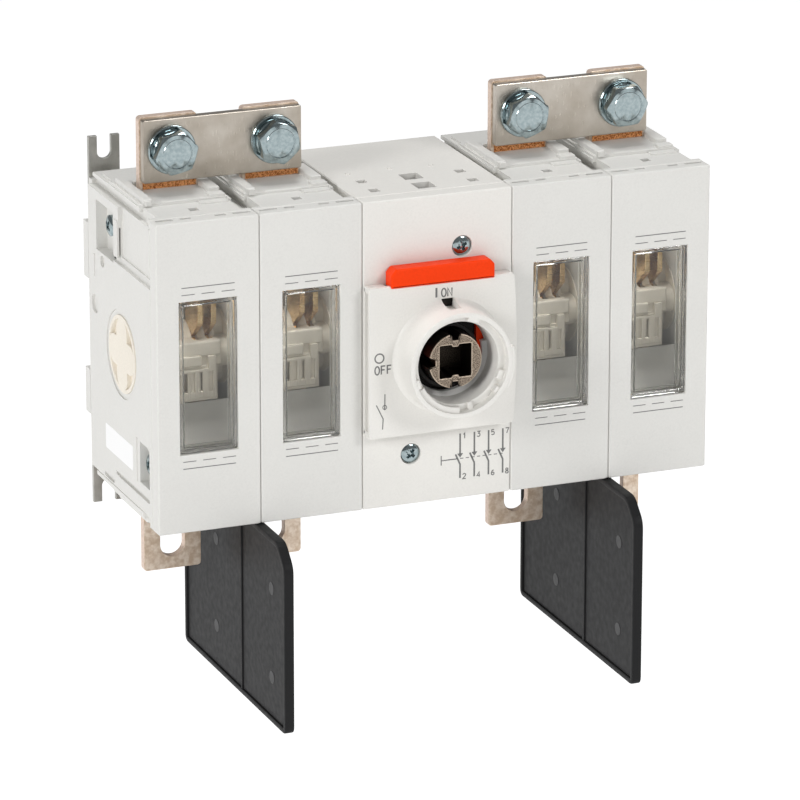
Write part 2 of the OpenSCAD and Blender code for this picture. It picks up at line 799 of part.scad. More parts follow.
// Shaft lock: front bar and two legs beside the coupler
module shaft_lock()
    color([0.98, 0.30, 0.07])
        union() {
            block([bar_x - bar_w / 2, bezel_y - 1, bar_z], [bar_x + bar_w / 2, face_y - 0.3, bar_z + bar_h], 1.2);
            for (s = [-1, 1])
                translate([drive_x, 0, 0])
                    side_of(s)
                        block([lock_gap, lock_y0, axis_z - 8 - lock_travel], [lock_gap + leg_w, lock_y0 + lock_t, bar_z + 2]);
        }

// ---- Fasteners -----------------------------------------------------------

// Cross recess in a screw head that faces the front
module cross_recess(y0, deep, reach, w)
    for (a = [0, 90])
        rotate([0, a, 0]) block([-reach, y0 - 1, -w / 2], [reach, y0 + deep, w / 2]);

// Screws that hold the mechanism cover
module front_screws()
    color(zinc)
        for (p = screw_pos)
            translate([p.x, 0, p.y])
                difference() {
                    union() {
                        rod_y(screw_head_d / 2, face_y + 0.2, face_y + 3);
                        rod_y(screw_d / 2, face_y + 2, split_y + 6);
                    }
                    cross_recess(face_y + 0.2, 1.6, 2.6, 1);
                }

// Rods through all the modules, with a pan head on the left
module tie_rods()
    color(zinc)
        for (k = [0, 1])
            translate([0, tie_pos[k].x, tie_pos[k].y]) {
                seat = half_w - seam / 2 - tie_recess;
                rod_x(tie_head_d / 2, -seat - tie_head_t, -seat);
                rod_x(tie_d / 2, -seat - 1, k == 0 ? seat + tie_head_t + 0.5 : half_w + 3.2);
            }

// Hexagon nuts on the right-hand ends of the rods
module tie_nuts()
    color(zinc)
        for (k = [0, 1]) {
            x0 = k == 0 ? half_w - seam / 2 - tie_recess : half_w - seam / 2 - 1;
            translate([x0, tie_pos[k].x, tie_pos[k].y])
                rotate([0, 90, 0])
                    difference() {
                        cylinder(d = tie_nut_d, h = tie_head_t, $fn = 6);
                        translate([0, 0, -1]) cylinder(r = tie_d / 2 + 0.05, h = tie_head_t + 2);
                    }
        }

// Screws that fix the terminals to their seats
module terminal_screws()
    color(zinc)
        for (n = POLES)
            translate([pole_x(n), 0, 0])
                both_ends()
                    translate([0, 0, seat_z])
                        difference() {
                            union() {
                                rod_y(seat_screw_d * 0.85, term_y - 3.4, term_y);
                                rod_y(seat_screw_d / 2 - 0.05, term_y - 1, term_back + 9.5);
                            }
                            cross_recess(term_y - 3.4, 2, 3, 1.1);
                        }

// Jumper bar between the tops of two neighbouring poles
module jumper_bar(a, b)
    color(tin)
        difference() {
            block([pole_x(a) - jumper_over, jumper_y, jumper_z - jumper_h / 2],
                [pole_x(b) + jumper_over, term_y, jumper_z + jumper_h / 2], 0.5);
            for (n = [a, b])
                translate([pole_x(n), 0, bolt_z]) rod_y(slot_w / 2, jumper_y - 1, term_y + 1);
        }

// Hexagon bolts of the upper terminals
module terminal_bolts()
    color(zinc)
        for (n = POLES)
            translate([pole_x(n), 0, bolt_z]) {
                under = jumper_y - washer_t;
                translate([0, under, 0]) rotate([90, 0, 0])
                    intersection() {
                        cylinder(d = bolt_af / cos(30), h = head_t, $fn = 6);
                        cylinder(r1 = bolt_af * 0.66, r2 = bolt_af * 0.66 - head_t * 0.27, h = head_t);
                    }
                rod_y(bolt_d / 2, under - 0.5, term_back + washer_t + nut_t + 2);
            }

// Flat washers in front of the jumpers and behind the terminals
module terminal_washers()
    color(zinc)
        for (n = POLES)
            translate([pole_x(n), 0, bolt_z])
                difference() {
                    union() {
                        rod_y(washer_d / 2, jumper_y - washer_t, jumper_y);
                        rod_y(washer_d / 2, term_back, term_back + washer_t);
                    }
                    rod_y(bolt_d / 2 + 0.3, jumper_y - washer_t - 1, term_back + washer_t + 1);
                }

module terminal_nuts()
    color(zinc)
        for (n = POLES)
            translate([pole_x(n), term_back + washer_t + nut_t, bolt_z])
                rotate([90, 0, 0])
                    difference() {
                        cylinder(d = bolt_af / cos(30), h = nut_t, $fn = 6);
                        translate([0, 0, -1]) cylinder(r = bolt_d / 2 + 0.05, h = nut_t + 2);
                    }

// ---- Barriers and mounting -------------------------------------------------

// Phase barrier: ribbed sheet with a head that slides in the slot between two poles
module phase_barrier(x) {
    front = face_y - barrier_out;
    back = -1;
    foot = -top_z - barrier_h;
    t = barrier_t / 2;
    color([0.24, 0.24, 0.25])
        translate([x, 0, 0]) {
            intersection() {
                block([-t, front, foot], [t, back, -top_z - 0.3]);
                barrier_outline(front, back, foot, 6);
            }
            difference() {
                intersection() {
                    block([-t - 0.7, front, foot], [t + 0.7, back, -top_z - 0.3]);
                    barrier_outline(front, back, foot, 6);
                }
                block([-t - 1, front + 2.4, foot + 2.4], [t + 1, back - 2.4, -top_z]);
            }
            block([-t - 0.7, face_y + 20, foot + 1], [t + 0.7, face_y + 22, -top_z - 0.3]);
            y0 = face_y + tee_front + 1;
            block([-t, y0, -top_z - 1], [t, back_y - 1, -top_z + tee_deep - 0.3]);
            block([-tee_half + 0.5, y0, -top_z + tee_lip + 0.2], [tee_half - 0.5, back_y - 1, -top_z + tee_deep - 0.3]);
        }
}

// Outline of a barrier with round lower corners
module barrier_outline(y0, y1, z0, r)
    rotate([90, 0, 90])
        translate([0, 0, -5])
            linear_extrude(10) {
                translate([y0 + r, z0]) square([y1 - y0 - 2 * r, barrier_h]);
                translate([y0, z0 + r]) square([y1 - y0, barrier_h - r]);
                for (y = [y0 + r, y1 - r])
                    translate([y, z0 + r]) circle(r);
            }

// Slotted steel forks at the four corners
module mounting_forks()
    color([0.42, 0.43, 0.44])
        for (s = [-1, 1])
            side_of(s)
                both_ends()
                    translate([fork_x, 0, 0])
                        difference() {
                            block([-fork_w / 2, -fork_t, fork_foot_z], [fork_w / 2, 0, top_z + fork_out + fork_tip]);
                            slot_y(fork_slot, top_z + fork_out, top_z + fork_out + fork_tip + 5, -fork_t - 1, 1);
                            translate([0, 0, fork_hole_z]) {
                                rod_y(fork_screw_d / 2 + 0.2, -fork_t - 1, 1);
                                rotate([-90, 0, 0]) translate([0, 0, -fork_t])
                                    cylinder(r1 = fork_screw_d / 2 + 0.2, r2 = fork_screw_d / 2 + 2, h = fork_t + eps);
                            }
                        }

// Countersunk screws that fix the forks to the feet
module fork_screws()
    color(zinc)
        for (s = [-1, 1])
            side_of(s)
                both_ends()
                    translate([fork_x, 0, fork_hole_z])
                        difference() {
                            union() {
                                rod_y(fork_screw_d / 2, back_y - 1.5, -0.5);
                                rotate([-90, 0, 0]) translate([0, 0, -fork_t + 0.1])
                                    cylinder(r1 = fork_screw_d / 2, r2 = fork_screw_d / 2 + 1.7, h = fork_t - 0.3);
                            }
                            for (a = [0, 90])
                                rotate([0, a, 0]) block([-2.2, -1.4, -0.4], [2.2, 1, 0.4]);
                        }

pole_housing(1);  // pole_housing_1
pole_housing(2);  // pole_housing_2
pole_housing(3);  // pole_housing_3
pole_housing(4);  // pole_housing_4
pole_cover(1);  // pole_cover_1
pole_cover(2);  // pole_cover_2
pole_cover(3);  // pole_cover_3
pole_cover(4);  // pole_cover_4
window(1);  // window_1
window(2);  // window_2
window(3);  // window_3
window(4);  // window_4
line_terminal(1);  // line_terminal_1
line_terminal(2);  // line_terminal_2
line_terminal(3);  // line_terminal_3
line_terminal(4);  // line_terminal_4
load_terminal(1);  // load_terminal_1
load_terminal(2);  // load_terminal_2
load_terminal(3);  // load_terminal_3
load_terminal(4);  // load_terminal_4
rotor(1);  // rotor_1
rotor(2);  // rotor_2
rotor(3);  // rotor_3
rotor(4);  // rotor_4
moving_contacts(1);  // moving_contacts_1
moving_contacts(2);  // moving_contacts_2
moving_contacts(3);  // moving_contacts_3
moving_contacts(4);  // moving_contacts_4
arc_chutes(1);  // arc_chutes_1
arc_chutes(2);  // arc_chutes_2
arc_chutes(3);  // arc_chutes_3
arc_chutes(4);  // arc_chutes_4
contact_shaft();
output_gear();
drive_gear();
shaft_coupler();
coupler_pin();
torsion_spring();
mechanism_housing();
mechanism_cover();
handle_bezel();
shaft_lock();
front_screws();
tie_rods();
tie_nuts();
terminal_screws();
jumper_bar(1, 2);  // jumper_bar_left
jumper_bar(3, 4);  // jumper_bar_right
terminal_bolts();
terminal_washers();
terminal_nuts();
phase_barrier(joint_x[0]);  // phase_barrier_left
phase_barrier(joint_x[1]);  // phase_barrier_right
mounting_forks();
fork_screws();
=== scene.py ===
"""Looks of a four-pole load-break switch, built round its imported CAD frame.

The helpers work in millimetres in the row frame (+X right, front at -Y, +Z up);
a mesh is turned into metres when it is built. Every piece rides on a CAD body.
"""

import logging
import math
from dataclasses import dataclass
from enum import Enum

import bmesh
import bpy
import numpy as np
from mathutils import Matrix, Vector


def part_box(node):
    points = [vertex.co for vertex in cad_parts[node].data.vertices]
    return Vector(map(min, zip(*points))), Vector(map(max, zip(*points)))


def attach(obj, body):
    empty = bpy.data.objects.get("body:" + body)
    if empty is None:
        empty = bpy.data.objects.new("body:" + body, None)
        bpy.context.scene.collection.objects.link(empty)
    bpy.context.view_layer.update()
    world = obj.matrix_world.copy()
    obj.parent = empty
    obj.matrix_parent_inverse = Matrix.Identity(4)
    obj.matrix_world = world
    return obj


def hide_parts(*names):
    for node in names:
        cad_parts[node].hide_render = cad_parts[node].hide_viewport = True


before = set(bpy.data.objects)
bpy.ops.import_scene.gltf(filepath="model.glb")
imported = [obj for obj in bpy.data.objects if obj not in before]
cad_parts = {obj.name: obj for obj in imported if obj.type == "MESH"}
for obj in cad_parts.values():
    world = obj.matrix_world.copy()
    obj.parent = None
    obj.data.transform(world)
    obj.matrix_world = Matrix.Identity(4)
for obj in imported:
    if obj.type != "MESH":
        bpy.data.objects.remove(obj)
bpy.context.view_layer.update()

LOG = logging.getLogger("switch")
TAU = 2 * math.pi
METRES = 1e-3
POLES = (1, 2, 3, 4)
POLE_X = {1: -103.0, 2: -57.0, 3: 57.0, 4: 103.0}
FACE_Y = -93.0
AXIS_Z = -1.0
DRIVE_X = 2.0
BEZEL_Y = -100.0
RIM_Y = -116.0
SAME_POINT = 2e-6

Pair = tuple[float, float]
Triple = tuple[float, float, float]
Color = Triple


class Plane(Enum):
    """The plane that an outline is drawn in; its depth runs along the third axis."""

    XZ = 0
    YZ = 1
    XY = 2


class Body(Enum):
    """The rigid bodies of the CAD frame."""

    ROOT = "root"
    DRIVE = "drive"
    ROTOR = "contact_rotor"
    LOCK = "lock"


# ---------------------------------------------------------------- outlines


def srgb(red: float, green: float, blue: float) -> Color:
    """Turns display values from 0 to 255 into linear light.

    Args:
        red, green, blue: display values.

    Returns:
        The linear colour.
    """
    c = np.array([red, green, blue]) / 255
    return tuple(np.where(c <= 0.04045, c / 12.92, ((c + 0.055) / 1.055) ** 2.4))


def round_rect(low: Pair, high: Pair, radius: float, steps: int = 5) -> np.ndarray:
    """Rectangle with round corners: four quarter circles joined by straight sides.

    Args:
        low: lowest corner.
        high: highest corner.
        radius: corner radius.
        steps: chords in each corner.

    Returns:
        The outline, anticlockwise, as an (n, 2) array.
    """
    (a0, b0), (a1, b1) = low, high
    radius = min(radius, (a1 - a0) / 2 - 1e-3, (b1 - b0) / 2 - 1e-3)
    centres = np.array([[a1 - radius, b1 - radius], [a0 + radius, b1 - radius], [a0 + radius, b0 + radius],
                        [a1 - radius, b0 + radius]])
    turn = np.linspace(0, math.pi / 2, steps + 1)
    angles = turn[None] + np.arange(4)[:, None] * math.pi / 2
    return (centres[:, None] + radius * np.stack([np.cos(angles), np.sin(angles)], -1)).reshape(-1, 2)


def circle(centre: Pair, radius: float, steps: int = 48) -> np.ndarray:
    """Circle: centre + radius * (cos a, sin a).

    Args:
        centre: its middle.
        radius: its radius.
        steps: number of points.

    Returns:
        The outline, anticlockwise, as a (steps, 2) array.
    """
    a = np.arange(steps) * TAU / steps
    return np.array(centre) + radius * np.stack([np.cos(a), np.sin(a)], -1)


def slot(centre: Pair, width: float, run: float, steps: int = 24) -> np.ndarray:
    """Upright slot: two half circles whose centres lie a run apart.

    Args:
        centre: its middle.
        width: diameter of the half circles.
        run: distance between their centres.
        steps: number of points.

    Returns:
        The outline, anticlockwise.
    """
    a = (np.arange(steps) + 0.5) * TAU / steps
    ring = width / 2 * np.stack([np.cos(a), np.sin(a)], -1)
    return np.array(centre) + ring + np.stack([0 * a, np.sign(np.sin(a)) * run / 2], -1)


def fillet(points: list[Pair], radius: float, steps: int = 3) -> np.ndarray:
    """Rounds each corner of a polygon with a curve from one side to the next.

    The curve is a quadratic one whose middle control point is the corner itself:
    (1-t)^2 a + 2t(1-t) corner + t^2 b, with a and b at most radius from the corner.

    Args:
        points: corners of the polygon.
        radius: how far the rounding reaches along each side.
        steps: chords in each corner.

    Returns:
        The rounded outline.
    """
    p = np.array(points, float)
    back, ahead = np.roll(p, 1, 0) - p, np.roll(p, -1, 0) - p
    lb, la = np.linalg.norm(back, axis=1, keepdims=True), np.linalg.norm(ahead, axis=1, keepdims=True)
    reach = np.minimum(radius, np.minimum(lb, la) * 0.45)
    a, b = p + back / lb * reach, p + ahead / la * reach
    t = np.linspace(0, 1, steps + 1)[None, :, None]
    return ((1 - t) ** 2 * a[:, None] + 2 * t * (1 - t) * p[:, None] + t**2 * b[:, None]).reshape(-1, 2)


def inset(outline: np.ndarray, depth: float) -> np.ndarray:
    """Moves an anticlockwise outline inwards along the mitre of its sides.

    Args:
        outline: (n, 2) outline.
        depth: how far its sides move.

    Returns:
        The moved outline, point for point.
    """
    e0, e1 = outline - np.roll(outline, 1, 0), np.roll(outline, -1, 0) - outline
    n0 = np.stack([-e0[:, 1], e0[:, 0]], -1) / np.maximum(np.linalg.norm(e0, axis=1, keepdims=True), 1e-9)
    n1 = np.stack([-e1[:, 1], e1[:, 0]], -1) / np.maximum(np.linalg.norm(e1, axis=1, keepdims=True), 1e-9)
    return outline + depth * (n0 + n1) / np.maximum(1 + (n0 * n1).sum(1, keepdims=True), 0.3)


def reach_at(outline: np.ndarray, centre: np.ndarray, angles: np.ndarray) -> np.ndarray:
    """How far an outline lies from a point inside it, in each of several directions.

    A ray d meets the side from p to p + q at the distance (p x q) / (d x q).

    Args:
        outline: (n, 2) outline.
        centre: the point.
        angles: directions in radians.

    Returns:
        The distance to the nearest side in each direction.
    """
    p = outline - centre
    q = np.roll(p, -1, 0) - p
    d = np.stack([np.cos(angles), np.sin(angles)], -1)
    den = d[:, :1] * q[None, :, 1] - d[:, 1:] * q[None, :, 0]
    den = np.where(abs(den) < 1e-12, 1e-12, den)
    along = (p[:, 0] * q[:, 1] - p[:, 1] * q[:, 0])[None] / den
    side = (p[None, :, 0] * d[:, 1:] - p[None, :, 1] * d[:, :1]) / den
    good = (along > 0) & (side > -1e-6) & (side < 1 + 1e-6)
    return np.where(good, along, np.inf).min(1)


def in_row(plane: Plane, flat: np.ndarray, depth: np.ndarray) -> np.ndarray:
    """Puts outline points and their depths into the row frame.

    Args:
        plane: the plane of the outline.
        flat: (..., 2) points of the outline.
        depth: the depth of each, or one for all.

    Returns:
        (..., 3) points.
    """
    a, b, d = np.broadcast_arrays(flat[..., 0], flat[..., 1], depth)
    order = {Plane.XZ: (a, d, b), Plane.YZ: (d, a, b), Plane.XY: (a, b, d)}[plane]
    return np.stack(order, -1)


class Solid:
    """Closed shells that are gathered, in millimetres, into one mesh."""

    def __init__(self) -> None:
        """Starts with nothing in it."""
        self.points: list[np.ndarray] = []
        self.faces: list[list[int]] = []
        self.count = 0

    def _take(self, points: np.ndarray) -> int:
        """Stores points.

        Args:
            points: (..., 3) points.

        Returns:
            The number of the first of them.
        """
        flat = points.reshape(-1, 3)
        self.points.append(flat)
        first, self.count = self.count, self.count + len(flat)
        return first

    def grid(self, points: np.ndarray, wrap_u: bool = False, wrap_v: bool = False,
             caps: bool = False) -> "Solid":
        """Adds a surface given as a grid of points.

        Args:
            points: (u, v, 3) array.
            wrap_u: joins the last row to the first.
            wrap_v: joins the last column to the first.
            caps: closes the first and last row with a flat face.

        Returns:
            This solid.
        """
        nu, nv = points.shape[:2]
        index = np.arange(nu * nv).reshape(nu, nv) + self._take(points)
        if caps:
            self.faces += [index[0, ::-1].tolist(), index[-1].tolist()]
        index = np.vstack([index, index[:1]]) if wrap_u else index
        index = np.hstack([index, index[:, :1]]) if wrap_v else index
        quads = np.stack([index[:-1, :-1], index[:-1, 1:], index[1:, 1:], index[1:, :-1]], -1)
        self.faces += quads.reshape(-1, 4).tolist()
        return self

    def slab(self, outline: np.ndarray, low: float, high: float, plane: Plane = Plane.XZ, edge: float = 0.3,
             steps: int = 2) -> "Solid":
        """Carries an outline along its depth; both ends are rounded by a quarter circle.

        Ring k lies edge * (1 - cos a) from the end and is inset by edge * (1 - sin a).

        Args:
            outline: (n, 2) outline.
            low: depth of the first end.
            high: depth of the other end.
            plane: the plane of the outline.
            edge: radius of the rounding.
            steps: chords in the rounding.

        Returns:
            This solid.
        """
        a = np.linspace(0, math.pi / 2, steps + 1) if edge > 0 else np.array([math.pi / 2])
        inner, rise = edge * (1 - np.sin(a)), edge * (1 - np.cos(a))
        levels = [(i, low + r) for i, r in zip(inner, rise)]
        levels += [(i, high - r) for i, r in zip(inner[::-1], rise[::-1])]
        rings = [in_row(plane, inset(outline, i), np.array(d)) for i, d in levels]
        return self.grid(np.stack(rings), wrap_v=True, caps=True)

    def box(self, low: Triple, high: Triple, edge: float = 0.3) -> "Solid":
        """Box with round edges: a rounded rectangle carried along X."""
        return self.slab(round_rect(low[1:], high[1:], max(edge, 0.02), 2), low[0], high[0], Plane.YZ, edge)

    def frame(self, outer: np.ndarray, inner: np.ndarray, low: float, high: float, plane: Plane = Plane.XZ,
              edge: float = 0.3, centre: Pair | None = None) -> "Solid":
        """Slab with one hole: both outlines are cut by the same rays from the hole's centre.

        Args:
            outer: outer outline.
            inner: outline of the hole.
            low: depth of the first end.
            high: depth of the other end.
            plane: the plane of the outlines.
            edge: radius of all its edges.
            centre: where the rays start, by default the middle of the hole.

        Returns:
            This solid.
        """
        c = np.array(centre) if centre else (inner.min(0) + inner.max(0)) / 2
        corners = np.vstack([outer, inner]) - c
        angles = np.unique(np.round(np.arctan2(corners[:, 1], corners[:, 0]), 6))
        ray = np.stack([np.cos(angles), np.sin(angles)], -1)
        far = c + ray * reach_at(outer, c, angles)[:, None]
        near = c + ray * reach_at(inner, c, angles)[:, None]
        a = np.linspace(0, math.pi / 2, 3)
        ins, rise = edge * (1 - np.sin(a)), edge * (1 - np.cos(a))
        rings = [in_row(plane, inset(far, i), np.array(low + r)) for i, r in zip(ins, rise)]
        rings += [in_row(plane, inset(far, i), np.array(high - r)) for i, r in zip(ins[::-1], rise[::-1])]
        rings += [in_row(plane, inset(near, -i), np.array(high - r)) for i, r in zip(ins, rise)]
        rings += [in_row(plane, inset(near, -i), np.array(low + r)) for i, r in zip(ins[::-1], rise[::-1])]
        return self.grid(np.stack(rings), wrap_u=True, wrap_v=True)

    def plate(self, outlines: list[np.ndarray], low: float, high: float, plane: Plane = Plane.XZ,
              edge: float = 0.3) -> "Solid":
        """Flat plate with any number of holes, filled as a flat curve.

        Args:
            outlines: the outer outline first, then the holes, all anticlockwise.
            low: depth of the first face.
            high: depth of the other face.
            plane: the plane of the outlines.
            edge: radius of all its edges.

        Returns:
            This solid.
        """
        curve = bpy.data.curves.new("plate", "CURVE")
        curve.dimensions, curve.fill_mode = "2D", "BOTH"
        curve.extrude, curve.bevel_depth, curve.bevel_resolution = (high - low) / 2 - edge, edge, 1
        for k, outline in enumerate(outlines):
            ring = inset(outline, edge if k == 0 else -edge)
            spline = curve.splines.new("POLY")
            spline.points.add(len(ring) - 1)
            weights = np.stack([np.zeros(len(ring)), np.ones(len(ring))], -1)
            spline.points.foreach_set("co", np.hstack([ring, weights]).ravel())
            spline.use_cyclic_u = True
        holder = bpy.data.objects.new("plate", curve)
        bpy.context.scene.collection.objects.link(holder)
        mesh = bpy.data.meshes.new_from_object(holder.evaluated_get(bpy.context.evaluated_depsgraph_get()))
        flat = np.zeros(len(mesh.vertices) * 3)
        mesh.vertices.foreach_get("co", flat)
        flat = flat.reshape(-1, 3)
        first = self._take(in_row(plane, flat[:, :2], flat[:, 2] + (low + high) / 2))
        self.faces += [[first + v for v in polygon.vertices] for polygon in mesh.polygons]
        bpy.data.objects.remove(holder)
        bpy.data.curves.remove(curve)
        bpy.data.meshes.remove(mesh)
        return self

    def revolve(self, profile: list[Pair], centre: Pair, plane: Plane = Plane.XZ, steps: int = 72,
                start: float = 0.0, stop: float = 360.0, ring: bool = False) -> "Solid":
        """Turns a profile round an axis: centre + radius * (cos a, sin a), at its depth.

        Args:
            profile: (radius, depth) pairs.
            centre: the axis in the plane.
            plane: the plane across the axis.
            steps: chords round the turn.
            start: first angle in degrees.
            stop: last angle in degrees.
            ring: the profile is a closed loop.

        Returns:
            This solid.
        """
        p = np.array(profile, float)
        whole = abs(stop - start - 360) < 1e-6
        a = np.radians(np.linspace(start, stop, steps + 1))
        a = a[:-1] if whole else a
        flat = np.array(centre) + p[None, :, :1] * np.stack([np.cos(a), np.sin(a)], -1)[:, None]
        points = in_row(plane, flat, np.broadcast_to(p[None, :, 1], flat.shape[:2]))
        return self.grid(points, wrap_u=whole, wrap_v=ring, caps=ring and not whole)

    def ribbon(self, line: list[Pair], width: float, low: float, high: float, plane: Plane = Plane.XZ,
               closed: bool = False) -> "Solid":
        """Carries a flat rectangle along a line, with mitred corners.

        Args:
            line: points of the middle line.
            width: width of the stroke.
            low: depth of its front.
            high: depth of its back.
            plane: the plane of the line.
            closed: the line returns to its start.

        Returns:
            This solid.
        """
        p = np.array(line, float)
        e1 = np.roll(p, -1, 0) - p
        e0 = p - np.roll(p, 1, 0)
        if not closed:
            e1[-1], e0[0] = e0[-1], e1[0]
        n = [np.stack([-e[:, 1], e[:, 0]], -1) / np.linalg.norm(e, axis=1, keepdims=True) for e in (e0, e1)]
        m = (n[0] + n[1]) / np.maximum(1 + (n[0] * n[1]).sum(1, keepdims=True), 0.3) * width / 2
        rings = [in_row(plane, p + s * m, np.array(d))
                 for s, d in ((1, low), (-1, low), (-1, high), (1, high))]
        return self.grid(np.stack(rings, 1), wrap_u=closed, wrap_v=True, caps=not closed)

    def build(self, name: str, smooth: float = 32.0) -> bpy.types.Object:
        """Makes the object, in metres, with merged points and outward faces.

        Args:
            name: name of the piece.
            smooth: edges sharper than this many degrees stay sharp.

        Returns:
            The object, linked to the scene.
        """
        mesh = bpy.data.meshes.new(name)
        mesh.from_pydata((np.vstack(self.points) * METRES).tolist(), [], self.faces)
        work = bmesh.new()
        work.from_mesh(mesh)
        bmesh.ops.remove_doubles(work, verts=work.verts, dist=SAME_POINT)
        bmesh.ops.recalc_face_normals(work, faces=work.faces)
        work.to_mesh(mesh)
        work.free()
        mesh.polygons.foreach_set("use_smooth", np.ones(len(mesh.polygons), bool))
        mesh.set_sharp_from_angle(angle=math.radians(smooth))
        piece = bpy.data.objects.new(name, mesh)
        bpy.context.scene.collection.objects.link(piece)
        return piece


# ---------------------------------------------------------------- finishes


class Shader:
    """A material's nodes, with the few patterns that the finishes share."""

    def __init__(self, name: str) -> None:
        """Makes the material.

        Args:
            name: name of the material.
        """
        self.material = bpy.data.materials.new(name)
        self.material.use_nodes = True
        self.tree = self.material.node_tree
        self.bsdf = self.tree.nodes["Principled BSDF"]
        self.place = self.add("ShaderNodeTexCoord").outputs["Object"]

    def add(self, kind: str) -> bpy.types.Node:
        """Adds a node of that kind."""
        return self.tree.nodes.new(kind)

    def link(self, source: bpy.types.NodeSocket, target: bpy.types.NodeSocket) -> None:
        """Links two sockets."""
        self.tree.links.new(source, target)

    def noise(self, size: float, detail: float = 3.0,
              stretch: Triple = (1.0, 1.0, 1.0)) -> bpy.types.NodeSocket:
        """Noise whose features are about size millimetres across.

        Args:
            size: feature size in millimetres.
            detail: octaves of finer noise.
            stretch: how much longer the features are along each axis.

        Returns:
            The noise value.
        """
        mapping, texture = self.add("ShaderNodeMapping"), self.add("ShaderNodeTexNoise")
        mapping.inputs["Scale"].default_value = [1000 / size / s for s in stretch]
        texture.inputs["Scale"].default_value = 1.0
        texture.inputs["Detail"].default_value = detail
        self.link(self.place, mapping.inputs["Vector"])
        self.link(mapping.outputs["Vector"], texture.inputs["Vector"])
        return texture.outputs["Fac"]

    def ramp(self, value: bpy.types.NodeSocket, low: float, high: float, dark: Color,
             light: Color) -> bpy.types.NodeSocket:
        """Colour that runs from dark to light.

        Args:
            value: what drives it.
            low: value at which it is dark.
            high: value at which it is light.
            dark: linear colour.
            light: linear colour.

        Returns:
            The colour.
        """
        node = self.add("ShaderNodeValToRGB")
        node.color_ramp.elements[0].position, node.color_ramp.elements[1].position = low, high
        node.color_ramp.elements[0].color = (*dark, 1)
        node.color_ramp.elements[1].color = (*light, 1)
        self.link(value, node.inputs["Fac"])
        return node.outputs["Color"]

    def mix(self, share: bpy.types.NodeSocket, first: bpy.types.NodeSocket,
            second: bpy.types.NodeSocket) -> bpy.types.NodeSocket:
        """Mixes two colours.

        Args:
            share: share of the second, from 0 to 1.
            first: colour.
            second: colour.

        Returns:
            The mixed colour.
        """
        node = self.add("ShaderNodeMix")
        node.data_type = "RGBA"
        self.link(share, node.inputs["Factor"])
        self.link(first, node.inputs["A"])
        self.link(second, node.inputs["B"])
        return node.outputs["Result"]

    def attribute(self, name: str) -> bpy.types.NodeSocket:
        """Reads an attribute of the piece's own mesh.

        Args:
            name: its name.

        Returns:
            Its value, 0 where the mesh has none.
        """
        node = self.add("ShaderNodeAttribute")
        node.attribute_name = name
        return node.outputs["Fac"]

    def bump(self, value: bpy.types.NodeSocket, height: float,
             after: bpy.types.NodeSocket | None = None) -> bpy.types.NodeSocket:
        """Bump, on top of an earlier one if there is one.

        Args:
            value: the height, from 0 to 1.
            height: what 1 stands for, in millimetres.
            after: normal of the earlier bump.

        Returns:
            The bumped normal.
        """
        node = self.add("ShaderNodeBump")
        node.inputs["Strength"].default_value = 1.0
        node.inputs["Distance"].default_value = height * METRES
        self.link(value, node.inputs["Height"])
        if after is not None:
            self.link(after, node.inputs["Normal"])
        return node.outputs["Normal"]

    def surface(self, share: bpy.types.NodeSocket, first: bpy.types.NodeSocket,
                second: bpy.types.NodeSocket) -> None:
        """Makes the surface a mix of two shaders.

        Args:
            share: share of the second one, from 0 to 1.
            first: output of the first shader.
            second: output of the second shader.
        """
        node = self.add("ShaderNodeMixShader")
        for k, source in enumerate((share, first, second)):
            self.link(source, node.inputs[k])
        self.link(node.outputs[0], self.tree.nodes["Material Output"].inputs["Surface"])

    def range(self, value: bpy.types.NodeSocket, low: float, high: float) -> bpy.types.NodeSocket:
        """Maps 0.3 to 0.7 of a noise onto another range.

        Args:
            value: the noise.
            low: result at 0.3.
            high: result at 0.7.

        Returns:
            The mapped value.
        """
        node = self.add("ShaderNodeMapRange")
        for key, number in (("From Min", 0.3), ("From Max", 0.7), ("To Min", low), ("To Max", high)):
            node.inputs[key].default_value = number
        self.link(value, node.inputs["Value"])
        return node.outputs["Result"]


@dataclass(frozen=True)
class MouldedPlastic:
    """Moulded plastic: a faint mottle, a fine grain and a little uneven gloss.

    Attributes:
        name: material name, the record's slot.
        color: linear colour.
        mottle: share by which the darkest patches are darker.
        roughness: lowest and highest roughness.
        grain: size of the grain in millimetres.
        depth: height of the grain in millimetres.
        fleck: size in millimetres of the filler's flecks.
        specular: strength of the plain reflection.
    """

    name: str
    color: Color
    mottle: float = 0.03
    roughness: Pair = (0.42, 0.56)
    grain: float = 0.45
    depth: float = 0.006
    fleck: float = 0.9
    specular: float = 0.4

    def material(self) -> bpy.types.Material:
        """Builds the material: coarse mottle times fine flecks, over a grain bump.

        Returns:
            The material.
        """
        s = Shader(self.name)
        s.bsdf.inputs["Specular IOR Level"].default_value = self.specular
        dark = tuple(c * (1 - self.mottle) for c in self.color)
        darker = tuple(c * (1 - 2.2 * self.mottle) for c in self.color)
        base = s.ramp(s.noise(26, 2), 0.35, 0.65, dark, self.color)
        flecks = s.noise(self.fleck, 4)
        speckled = s.ramp(flecks, 0.3, 0.6, darker, self.color)
        s.link(s.mix(s.noise(7, 1), base, speckled), s.bsdf.inputs["Base Color"])
        s.link(s.range(s.noise(3, 2), *self.roughness), s.bsdf.inputs["Roughness"])
        s.link(s.bump(s.noise(self.grain, 2), self.depth), s.bsdf.inputs["Normal"])
        return s.material


